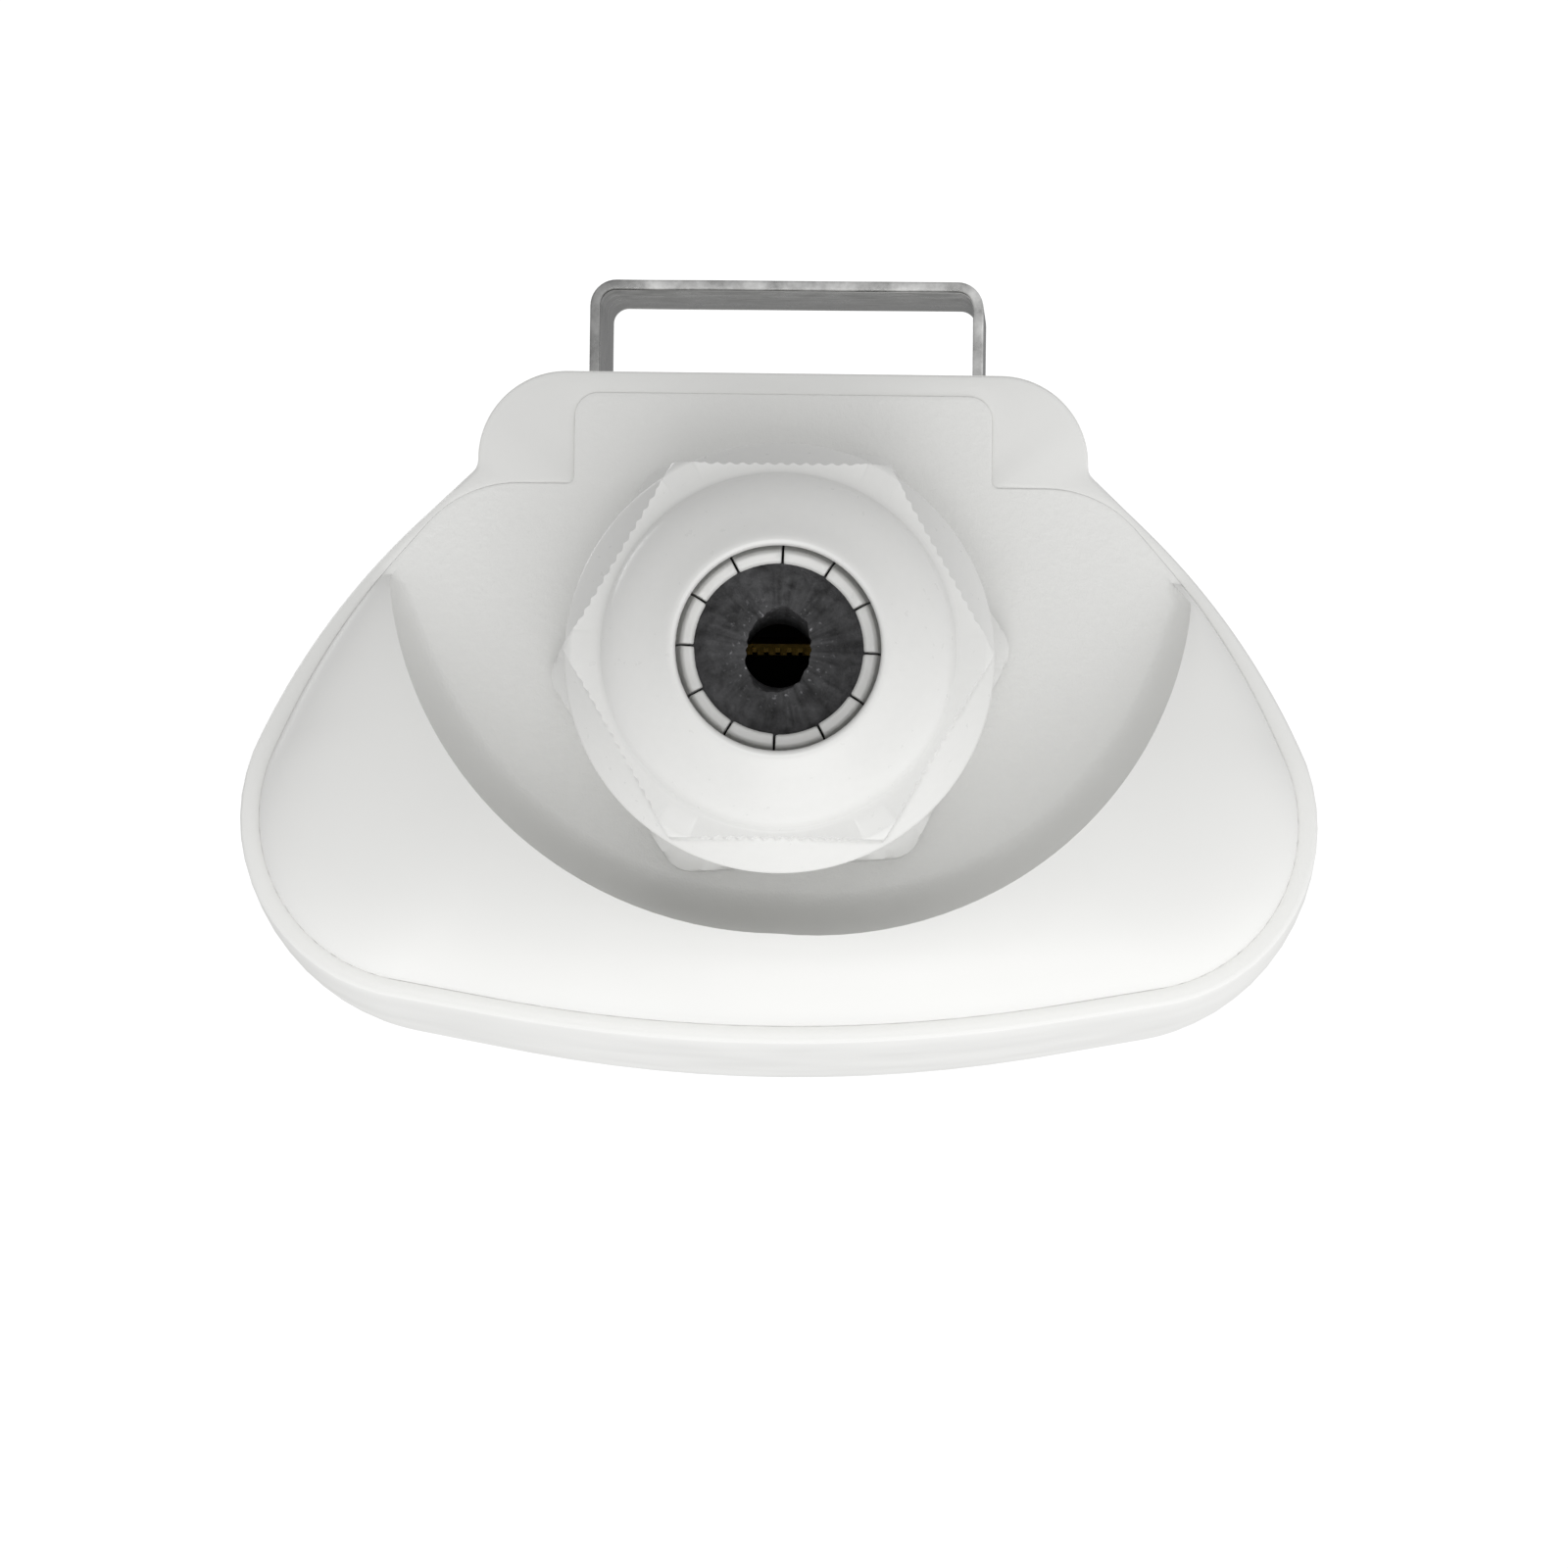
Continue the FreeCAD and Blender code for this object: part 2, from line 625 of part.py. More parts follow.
def make_components():
    """Parts soldered to the radio board."""
    keep(on_board("poe_transformer", -1.0, -26.0, 15.0, 13.0, 8.5), "poe_transformer")
    keep(on_board("radio_chip", 0.0, 3.0, 13.0, 13.0, 1.2), "radio_chip")
    keep(on_board("memory_chip", 16.0, 4.0, 8.0, 12.0, 1.1), "memory_chip")
    can = on_board("radio_can_blank", 0.0, 33.0, 34.0, 26.0, 3.2)
    inside = block("radio_can_inside", (-16.7, BOARD_FRONT - 2.9, 20.3), (16.7, BOARD_FRONT, 45.7))
    keep(less("radio_can", can, [inside]), "radio_can")
    keep(on_board("power_inductor", 15.5, -26.0, 10.0, 10.0, 4.5), "power_inductor")
    start = (-17.0, BOARD_FRONT - 9.0, -30.0)
    keep(rod("power_capacitor", start, 4.0, 9.0, REAR), "power_capacitor")
    base = on_board("switch_base", 17.0, -52.0, 6.0, 6.0, 3.6)
    well = rod("switch_well", (17.0, BOARD_FRONT - 5.0, -52.0), 1.95, 3.6, REAR)
    keep(less("reset_switch", base, [well]), "reset_switch")
    keep(rod("reset_button", (17.0, BOARD_FRONT - 4.9, -52.0), 1.6, 2.5, REAR), "reset_button")


# ------------------------------------------------------------------------------ aerial group

PLATE_FRONT = -53.2
PLATE_BACK = -52.2
PANEL_FRONT = -59.7
PANEL_BACK = -58.2


def make_aerial():
    """Reflector plate and aerial panel on nylon posts, with two copper patches."""
    plate = block("plate_blank", (-36.0, PLATE_FRONT, -54.0), (36.0, PLATE_BACK, 64.0))
    lets = []
    for i, x in enumerate((-13.0, 13.0)):
        lets.append(rod("plate_let_%d" % i, (x, -54.0, 5.0), 2.2, 3.0, REAR))
    keep(less("reflector_plate", plate, lets), "reflector_plate")
    for name, x, z in (("low_right", -24.0, -44.0), ("low_left", 24.0, -44.0),
                       ("high_right", -24.0, 54.0), ("high_left", 24.0, 54.0)):
        long = BOARD_FRONT - PLATE_BACK
        keep(rod("plate_post_" + name, (x, PLATE_BACK, z), 2.4, long, REAR), "plate_post_" + name)
    panel = block("aerial_panel", (-33.0, PANEL_FRONT, -50.0), (33.0, PANEL_BACK, 60.0))
    keep(panel, "aerial_panel")
    for name, x, z in (("low_right", -30.0, -46.0), ("low_left", 30.0, -46.0),
                       ("high_right", -30.0, 56.0), ("high_left", 30.0, 56.0)):
        long = PLATE_FRONT - PANEL_BACK
        keep(rod("panel_post_" + name, (x, PANEL_BACK, z), 2.0, long, REAR), "panel_post_" + name)
    for name, z in (("patch_low", -22.0), ("patch_high", 32.0)):
        patch = block(name, (-18.5, PANEL_FRONT - 0.25, z - 18.5), (18.5, PANEL_FRONT, z + 18.5))
        keep(patch, name)


def make_leads():
    """Coaxial leads from the radio board through the plate to the panel, with plugs."""
    for side, x in (("right", -13.0), ("left", 13.0)):
        plug = rod("lead_plug_" + side, (x, BOARD_FRONT - 2.2, 15.5), 1.6, 2.2, REAR)
        keep(plug, "lead_plug_" + side)
        path = Part.BSplineCurve()
        path.interpolate([V(x, BOARD_FRONT - 2.2, 15.5), V(x, -40.0, 14.6), V(x, -45.5, 9.0),
                          V(x, -50.0, 5.4), V(x, -54.0, 5.0), V(x, PANEL_BACK, 5.0)])
        spine = Part.Wire([path.toShape()])
        ring = Part.Wire([Part.Circle(V(x, BOARD_FRONT - 2.2, 15.5), REAR, 0.7).toShape()])
        lead = doc.addObject("Part::Feature", "aerial_lead_" + side)
        lead.Shape = spine.makePipeShell([ring], True, True)
        keep(lead, "aerial_lead_" + side)


def write_parts():
    """Check every object, then write one STEP file per sub-part."""
    doc.recompute()
    for item in doc.Objects:
        if "Invalid" in item.State or "Error" in item.State:
            raise RuntimeError("bad object " + item.Label)
    os.makedirs("parts", exist_ok=True)
    for item in nodes:
        shape = item.Shape
        if shape.isNull() or not shape.isValid():
            raise RuntimeError("bad shape " + item.Label)
        if len(shape.Solids) != 1:
            raise RuntimeError("not one solid " + item.Label)
        shape.exportStep("parts/" + item.Label + ".step")
        box = shape.BoundBox
        print("%-26s %9.1f mm3  x %.1f %.1f  y %.1f %.1f  z %.1f %.1f" % (
            item.Label, shape.Volume, box.XMin, box.XMax, box.YMin, box.YMax,
            box.ZMin, box.ZMax))


make_strap()
make_pivot()
make_sleeve()
make_cap()
make_gasket()
make_gland_body()
make_claw()
make_seal()
make_nut()
make_gland_rings()
make_carrier()
make_board()
make_jack()
make_components()
make_aerial()
make_leads()
write_parts()
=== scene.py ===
import bisect
import json
import math

import bmesh
import bpy
from bpy.props import (FloatProperty, FloatVectorProperty, IntProperty, PointerProperty,
                       StringProperty)
from bpy.types import Operator, Panel, PropertyGroup
from mathutils import Matrix, Vector, noise


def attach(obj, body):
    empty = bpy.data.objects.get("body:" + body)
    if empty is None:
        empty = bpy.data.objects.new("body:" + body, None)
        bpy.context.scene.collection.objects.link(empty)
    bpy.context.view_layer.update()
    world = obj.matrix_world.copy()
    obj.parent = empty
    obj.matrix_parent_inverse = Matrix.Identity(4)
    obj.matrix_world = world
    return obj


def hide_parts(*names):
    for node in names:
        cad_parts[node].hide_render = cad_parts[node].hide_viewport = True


bl_info = {
    "name": "Outdoor wireless unit",
    "version": (1, 0, 0),
    "blender": (4, 5, 0),
    "location": "3D View > Sidebar > Wireless unit",
    "description": "Skins for a weatherproof wireless unit with a cable gland and strap loop",
    "category": "Add Mesh",
}

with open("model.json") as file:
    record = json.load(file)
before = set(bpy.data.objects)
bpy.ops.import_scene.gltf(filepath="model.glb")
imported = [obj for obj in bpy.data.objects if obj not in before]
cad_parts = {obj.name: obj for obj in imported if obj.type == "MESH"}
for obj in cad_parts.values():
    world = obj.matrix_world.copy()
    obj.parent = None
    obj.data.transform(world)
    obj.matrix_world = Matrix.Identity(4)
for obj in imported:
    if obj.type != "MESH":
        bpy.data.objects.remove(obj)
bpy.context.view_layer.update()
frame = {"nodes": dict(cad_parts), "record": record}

MM = 0.001

# Levels and centres shared by several pieces, in millimetres, in the frame of the part.
RIM = -95.0
LEDGE = -90.0
GLAND_Y = -40.65
RECESS_Y = -30.15
HUMP_FACE = -16.05

CAP_FRONT = (0.0, -72.93, 137.0)
CAP_HALF = ((49.75, -64.16, 13.7), (37.6, -38.05, 60.0), (26.7, -25.55, 10.0),
            (17.5, -25.55, 0.6), (17.5, -17.9, 2.0))


# ------------------------------------------------------------------------------ sizes

def length(name, description, size):
    """Length property, its default given in millimetres."""
    return FloatProperty(name=name, description=description, default=size * MM, unit="LENGTH")


def hex_code(name, description, code):
    """Colour property that holds an sRGB hex value."""
    return StringProperty(name=name, description=description, default=code)


class UnitSizes(PropertyGroup):
    """Sizes that change the look of the unit."""
    bumper_rise: length("Bumper height", "Height of the front bumper below the rim", 11.0)
    recess_radius: length("Recess radius", "Radius of the lip of the gland recess", 33.0)
    rib_pitch: length("Rib pitch", "Spacing of the grip ribs on the gland nut", 1.02)
    rib_depth: length("Rib depth", "Depth of the grooves between the grip ribs", 0.32)
    fingers: IntProperty(
        name="Fingers", description="Number of clamping fingers in the gland",
        default=12, min=6, max=16)
    strap_thickness: length("Strap thickness", "Thickness of the strap loop", 1.0)


class UnitColours(PropertyGroup):
    """Colours of the unit, as sRGB hex values."""
    shell: hex_code("Shell", "Moulded shell and cap", "EDEDEB")
    nylon: hex_code("Nylon", "Gland body and nut", "E4E4E2")
    rubber: hex_code("Rubber", "Gland seal and gaskets", "2A2A2B")
    steel: hex_code("Steel", "Strap loop", "C4C4C3")
    floor: hex_code("Floor", "Studio floor", "F4F4F2")
    sun: FloatVectorProperty(
        name="Lamp colour", description="Colour of the soft lamps", subtype="COLOR",
        default=(1.0, 1.0, 1.0))


def sizes():
    """The size settings of the current scene."""
    return bpy.context.scene.unit_sizes


def colours():
    """The colour settings of the current scene."""
    return bpy.context.scene.unit_colours


# ---------------------------------------------------------------------------- outlines

def rounded(corners, arc=10, line=6):
    """Points round a polygon whose corners (x, y, r) are rounded; always the same count."""
    total = len(corners)
    joins = []
    for i in range(total):
        x, y, r = corners[i]
        tip = Vector((x, y))
        before = (Vector(corners[i - 1][:2]) - tip).normalized()
        after = (Vector(corners[(i + 1) % total][:2]) - tip).normalized()
        half = 0.5 * before.angle(after)
        run = r / math.tan(half)
        start = tip + before * run
        end = tip + after * run
        centre = tip + (before + after).normalized() * (r / math.sin(half))
        joins.append((start, end, centre))
    points = []
    for i in range(total):
        start, end, centre = joins[i]
        a = start - centre
        b = end - centre
        sweep = math.atan2(a.x * b.y - a.y * b.x, a.dot(b))
        for k in range(arc + 1):
            t = sweep * k / arc
            c, s = math.cos(t), math.sin(t)
            points.append(centre + Vector((a.x * c - a.y * s, a.x * s + a.y * c)))
        following = joins[(i + 1) % total][0]
        for k in range(1, line):
            points.append(end.lerp(following, k / line))
    return points


def mirrored(first, half):
    """All corners of an outline that is symmetric about X = 0."""
    return [first] + list(half) + [(-x, y, r) for x, y, r in reversed(half)]


def grown(corners, step):
    """The same polygon with every side moved out by a step."""
    total = len(corners)
    lines = []
    for i in range(total):
        a = Vector(corners[i][:2])
        run = (Vector(corners[(i + 1) % total][:2]) - a).normalized()
        lines.append((a + Vector((run.y, -run.x)) * step, run))
    result = []
    for i in range(total):
        p, u = lines[i - 1]
        q, w = lines[i]
        cross = u.x * w.y - u.y * w.x
        gap = q - p
        spot = p + u * ((gap.x * w.y - gap.y * w.x) / cross)
        radius = corners[i][2] + (step if cross > 0 else -step)
        result.append((spot.x, spot.y, max(0.3, radius)))
    return result


def sleeve_outline(bulge, step=0.0):
    """Outline of the sleeve with its rear hump; bulge runs from 0 at the rim to 1."""
    front = (0.0, -74.18 - 4.4 * bulge, 138.0)
    half = ((51.4 + 3.6 * bulge, -65.2 - 3.2 * bulge, 15.0 + 2.0 * bulge),
            (39.2 + 2.4 * bulge, -37.3, 60.0),
            (25.6, -24.2, 1.2),
            (25.6, HUMP_FACE, 7.4))
    return grown(mirrored(front, half), step)


def crossings(hub, rays, target):
    """Points where rays from a hub cross a closed outline that surrounds it."""
    polar = sorted((math.atan2(p.y - hub.y, p.x - hub.x), p.x, p.y) for p in target)
    found = []
    for ray in rays:
        k = bisect.bisect_left(polar, (math.atan2(ray.y, ray.x),)) % len(polar)
        a = Vector(polar[k - 1][1:])
        edge = Vector(polar[k][1:]) - a
        cross = ray.x * edge.y - ray.y * edge.x
        gap = a - hub
        found.append(hub + ray * ((gap.x * edge.y - gap.y * edge.x) / cross))
    return found


def level(points, z):
    """Lift a flat outline to a level."""
    return [Vector((p[0], p[1], z)) for p in points]


# -------------------------------------------------------------------------- mesh making

def skin(rings, closed=False):
    """Vertices and faces of a skin over rings of equal length, its ends filled or joined."""
    count = len(rings[0])
    verts = [p for ring in rings for p in ring]
    faces = []
    total = len(rings)
    for i in range(total if closed else total - 1):
        a = i * count
        b = ((i + 1) % total) * count
        for k in range(count):
            n = (k + 1) % count
            faces.append((a + k, a + n, b + n, b + k))
    if not closed:
        for start in (0, (total - 1) * count):
            middle = Vector((0.0, 0.0, 0.0))
            for k in range(count):
                middle += verts[start + k]
            verts.append(middle / count)
            hub = len(verts) - 1
            for k in range(count):
                faces.append((hub, start + k, start + (k + 1) % count))
    return verts, faces


def soften(profile, radius, steps=3):
    """Round the corners of an open or closed profile of (r, h) points a little."""
    total = len(profile)
    result = []
    for i in range(total):
        p = Vector(profile[i])
        a = Vector(profile[i - 1]) - p
        b = Vector(profile[(i + 1) % total]) - p
        reach = min(radius, 0.4 * a.length, 0.4 * b.length)
        start = p + a.normalized() * reach
        end = p + b.normalized() * reach
        for k in range(steps + 1):
            t = k / steps
            result.append(start * (1 - t) ** 2 + p * 2 * t * (1 - t) + end * t * t)
    return result


def circle(count, radius, z):
    """Ring of points round the axis of the gland."""
    turns = [2 * math.pi * k / count for k in range(count)]
    return [Vector((radius * math.cos(a), GLAND_Y + radius * math.sin(a), z)) for a in turns]


def turned(profile, count=160):
    """Rings of a profile of (radius, distance below the rim) turned about the gland's axis."""
    return [circle(count, r, RIM - h) for r, h in profile]


def make_piece(name, rings, sharp=None, closed=False, smooth=True):
    """New mesh object skinned over millimetre rings, with outward normals."""
    verts, faces = skin(rings, closed)
    mesh = bpy.data.meshes.new(name)
    mesh.from_pydata([tuple(Vector(v) * MM) for v in verts], [], faces)
    mesh.validate()
    work = bmesh.new()
    work.from_mesh(mesh)
    bmesh.ops.recalc_face_normals(work, faces=work.faces)
    work.to_mesh(mesh)
    work.free()
    if smooth:
        mesh.shade_smooth()
    if sharp is not None:
        mesh.set_sharp_from_angle(angle=math.radians(sharp))
    piece = bpy.data.objects.new(name, mesh)
    bpy.context.scene.collection.objects.link(piece)
    return piece


def join_pieces(name, pieces):
    """Join several mesh objects into one piece."""
    bpy.ops.object.select_all(action="DESELECT")
    for piece in pieces:
        piece.select_set(True)
    bpy.context.view_layer.objects.active = pieces[0]
    bpy.ops.object.join()
    pieces[0].name = name
    pieces[0].data.name = name
    return pieces[0]


def drill(piece, rings):
    """Cut the space inside a skin over rings out of a piece."""
    cutter = make_piece("cutter", rings, smooth=False)
    cut = piece.modifiers.new("bore", "BOOLEAN")
    cut.operation = "DIFFERENCE"
    cut.solver = "EXACT"
    cut.object = cutter
    bpy.context.view_layer.update()
    graph = bpy.context.evaluated_depsgraph_get()
    mesh = bpy.data.meshes.new_from_object(piece.evaluated_get(graph))
    old = piece.data
    piece.modifiers.clear()
    piece.data = mesh
    bpy.data.meshes.remove(old)
    bpy.data.objects.remove(cutter)


def dress(piece, body, slot, *nodes, finish=None):
    """Give a piece its body, its slot with the finish, and the nodes it stands for."""
    piece.data.materials.clear()
    piece.data.materials.append(finish_of(finish or slot))
    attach(piece, body)
    if nodes:
        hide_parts(*nodes)


# ---------------------------------------------------------------------------- materials

def linear(code):
    """Linear colour of an sRGB hex value."""
    values = [int(code[i:i + 2], 16) / 255.0 for i in (0, 2, 4)]
    values = [v / 12.92 if v <= 0.04045 else ((v + 0.055) / 1.055) ** 2.4 for v in values]
    return (values[0], values[1], values[2], 1.0)


def add(tree, kind, settings=None, **links):
    """Add one node: settings are attributes or input values, links are input sockets."""
    node = tree.nodes.new(kind)
    for key, value in (settings or {}).items():
        if isinstance(key, int) or key in node.inputs:
            node.inputs[key].default_value = value
        else:
            setattr(node, key, value)
    for key, socket in links.items():
        target = node.inputs[int(key[1:])] if key[0] == "i" and key[1:].isdigit() \
            else node.inputs[key.replace("_", " ")]
        tree.links.new(socket, target)
    return node


def new_material(name, colour, roughness, metallic=0.0, ior=1.5):
    """Principled material with uniform values on its sockets, and object coordinates."""
    material = bpy.data.materials.new(name)
    material.use_nodes = True
    tree = material.node_tree
    shader = tree.nodes["Principled BSDF"]
    shader.inputs["Base Color"].default_value = colour
    shader.inputs["Roughness"].default_value = roughness
    shader.inputs["Metallic"].default_value = metallic
    shader.inputs["IOR"].default_value = ior
    where = add(tree, "ShaderNodeTexCoord").outputs["Object"]
    return material, tree, shader, where


def shade(code, factor):
    """A hex colour made darker or lighter by a factor, in linear light."""
    colour = linear(code)
    return (colour[0] * factor, colour[1] * factor, colour[2] * factor, 1.0)


def per_mm(size):
    """Noise scale whose features are about a given number of millimetres."""
    return 0.5 / (size * MM)


def mottled_asa(name, roughness, size):
    """Weatherproof ASA, moulded, with flow mottle of a given size in millimetres."""
    code = colours().shell
    material, tree, shader, where = new_material(name, linear(code), roughness, 0.0, 1.52)
    # Mottle: keeps the big plain faces from looking dead flat.
    wide = add(tree, "ShaderNodeTexNoise", {"Scale": per_mm(size), "Detail": 2.0}, Vector=where)
    tone = add(tree, "ShaderNodeMapRange", {1: 0.1, 2: 0.9}, i0=wide.outputs["Fac"])
    colour = add(tree, "ShaderNodeMix", {"data_type": "RGBA", 6: shade(code, 0.97),
                                         7: linear(code)}, i0=tone.outputs[0])
    tree.links.new(colour.outputs[2], shader.inputs["Base Color"])
    return material, tree, shader, where, wide


def moulded_shell():
    """Shell: satin, with a fine spark-eroded grain and an uneven gloss."""
    material, tree, shader, where, wide = mottled_asa("Moulded white ASA", 0.38, 6.0)
    # The mottle also shifts the gloss, so that highlights break up softly.
    gloss = add(tree, "ShaderNodeMapRange", {1: 0.1, 2: 0.9, 3: 0.32, 4: 0.46},
                i0=wide.outputs["Fac"])
    tree.links.new(gloss.outputs[0], shader.inputs["Roughness"])
    # Eroded grain of the tool, 0.25 mm: a fine tooth that dulls the reflections.
    fine = add(tree, "ShaderNodeTexNoise", {"Scale": per_mm(0.25), "Detail": 3.0,
                                            "Roughness": 0.6}, Vector=where)
    bump = add(tree, "ShaderNodeBump", {"Strength": 0.12, "Distance": 0.05 * MM},
               Height=fine.outputs["Fac"])
    tree.links.new(bump.outputs["Normal"], shader.inputs["Normal"])
    return material


def moulded_cap():
    """Cap: the same ASA; its flat keeps a coarser eroded grain than the bumper."""
    material, tree, shader, where, _ = mottled_asa("Moulded white ASA cap", 0.40, 5.0)
    # Grain of about 0.35 mm; it is deep on the flat and fades on the polished bumper.
    parts = add(tree, "ShaderNodeSeparateXYZ", None, Vector=where)
    depth = add(tree, "ShaderNodeMapRange", {1: (RIM - 1.5) * MM, 2: (RIM - 0.2) * MM,
                                             3: 0.08, 4: 0.8}, i0=parts.outputs["Z"])
    coarse = add(tree, "ShaderNodeTexNoise", {"Scale": per_mm(0.35), "Detail": 3.0,
                                              "Roughness": 0.65}, Vector=where)
    bump = add(tree, "ShaderNodeBump", {"Distance": 0.08 * MM}, Strength=depth.outputs[0],
               Height=coarse.outputs["Fac"])
    tree.links.new(bump.outputs["Normal"], shader.inputs["Normal"])
    return material


def moulded_nylon():
    """Glossy moulded nylon 6: smooth skin with slight sink ripples and some depth."""
    code = colours().nylon
    material, tree, shader, where = new_material("Moulded white nylon", linear(code), 0.28,
                                                 0.0, 1.53)
    shader.inputs["Subsurface Weight"].default_value = 0.05
    shader.inputs["Subsurface Radius"].default_value = (1.2 * MM, 1.2 * MM, 1.1 * MM)
    shader.inputs["Subsurface Scale"].default_value = 1.0
    # Haze about 0.4 mm across: keeps tone and gloss from being dead even.
    haze = add(tree, "ShaderNodeTexNoise", {"Scale": per_mm(0.4), "Detail": 3.0}, Vector=where)
    colour = add(tree, "ShaderNodeMix", {"data_type": "RGBA", 6: shade(code, 0.96),
                                         7: linear(code)}, i0=haze.outputs["Fac"])
    tree.links.new(colour.outputs[2], shader.inputs["Base Color"])
    gloss = add(tree, "ShaderNodeMapRange", {3: 0.25, 4: 0.33}, i0=haze.outputs["Fac"])
    tree.links.new(gloss.outputs[0], shader.inputs["Roughness"])
    # Sink ripples about 5 mm across: long, soft highlights waver.
    ripple = add(tree, "ShaderNodeTexNoise", {"Scale": per_mm(5.0), "Detail": 0.0}, Vector=where)
    bump = add(tree, "ShaderNodeBump", {"Strength": 0.15, "Distance": 0.2 * MM},
               Height=ripple.outputs["Fac"])
    tree.links.new(bump.outputs["Normal"], shader.inputs["Normal"])
    return material


def torn_rubber():
    """Neoprene seal, pierced and torn: matt, crumbly, with pale dust on its high spots and painted
    shade in radial tear streaks.
    """
    code = colours().rubber
    material, tree, shader, where = new_material("Pierced neoprene", linear(code), 0.78, 0.0, 1.52)
    # Crumbs of 0.5 mm over lumps of 1.4 mm: the torn face looks dry and uneven.
    crumbs = add(tree, "ShaderNodeTexNoise", {"Scale": per_mm(0.5), "Detail": 4.0,
                                              "Roughness": 0.7}, Vector=where)
    lumps = add(tree, "ShaderNodeTexNoise", {"Scale": per_mm(1.4), "Detail": 2.0}, Vector=where)
    both = add(tree, "ShaderNodeMath", {"operation": "ADD"}, i0=crumbs.outputs["Fac"],
               i1=lumps.outputs["Fac"])
    # Painted shade: tear lines fan out from the pierced hole as darker and lighter streaks in the
    # colour, noise that only depends on the direction, standing in for the light and shade on the
    # tears' relief.
    flat = add(tree, "ShaderNodeVectorMath", {"operation": "MULTIPLY", 1: (1.0, 1.0, 0.0)},
               i0=where)
    away = add(tree, "ShaderNodeVectorMath", {"operation": "SUBTRACT",
                                              1: (0.0, GLAND_Y * MM, 0.0)}, i0=flat.outputs[0])
    ways = add(tree, "ShaderNodeVectorMath", {"operation": "NORMALIZE"}, i0=away.outputs[0])
    tear_shade_streaks = add(tree, "ShaderNodeTexNoise", {"Scale": 7.0, "Detail": 2.0},
                Vector=ways.outputs[0])
    total = add(tree, "ShaderNodeMath", {"operation": "ADD"}, i0=both.outputs[0],
                i1=tear_shade_streaks.outputs["Fac"])
    tone = add(tree, "ShaderNodeMapRange", {1: 1.15, 2: 1.85}, i0=total.outputs[0])
    # This tone mixes the crumbs' own tone with the painted tear shade.
    torn = add(tree, "ShaderNodeMix", {"data_type": "RGBA", 6: shade(code, 0.8),
                                       7: shade(code, 3.6)}, i0=tone.outputs[0])
    # Pale crumbs 0.2 mm across lie in the torn edge, within about 2 mm of the hole.
    reach = add(tree, "ShaderNodeVectorMath", {"operation": "LENGTH"}, i0=away.outputs[0])
    near = add(tree, "ShaderNodeMapRange", {1: 2.8 * MM, 2: 5.0 * MM, 3: 1.0, 4: 0.05},
               i0=reach.outputs["Value"])
    dust = add(tree, "ShaderNodeTexNoise", {"Scale": per_mm(0.2), "Detail": 1.0}, Vector=where)
    speck = add(tree, "ShaderNodeMapRange", {1: 0.64, 2: 0.78}, i0=dust.outputs["Fac"])
    crumb = add(tree, "ShaderNodeMath", {"operation": "MULTIPLY"}, i0=speck.outputs[0],
                i1=near.outputs[0])
    colour = add(tree, "ShaderNodeMix", {"data_type": "RGBA", 7: shade(code, 14.0)},
                 i0=crumb.outputs[0], i6=torn.outputs[2])
    tree.links.new(colour.outputs[2], shader.inputs["Base Color"])
    bump = add(tree, "ShaderNodeBump", {"Strength": 0.8, "Distance": 0.35 * MM},
               Height=both.outputs[0])
    tree.links.new(bump.outputs["Normal"], shader.inputs["Normal"])
    return material


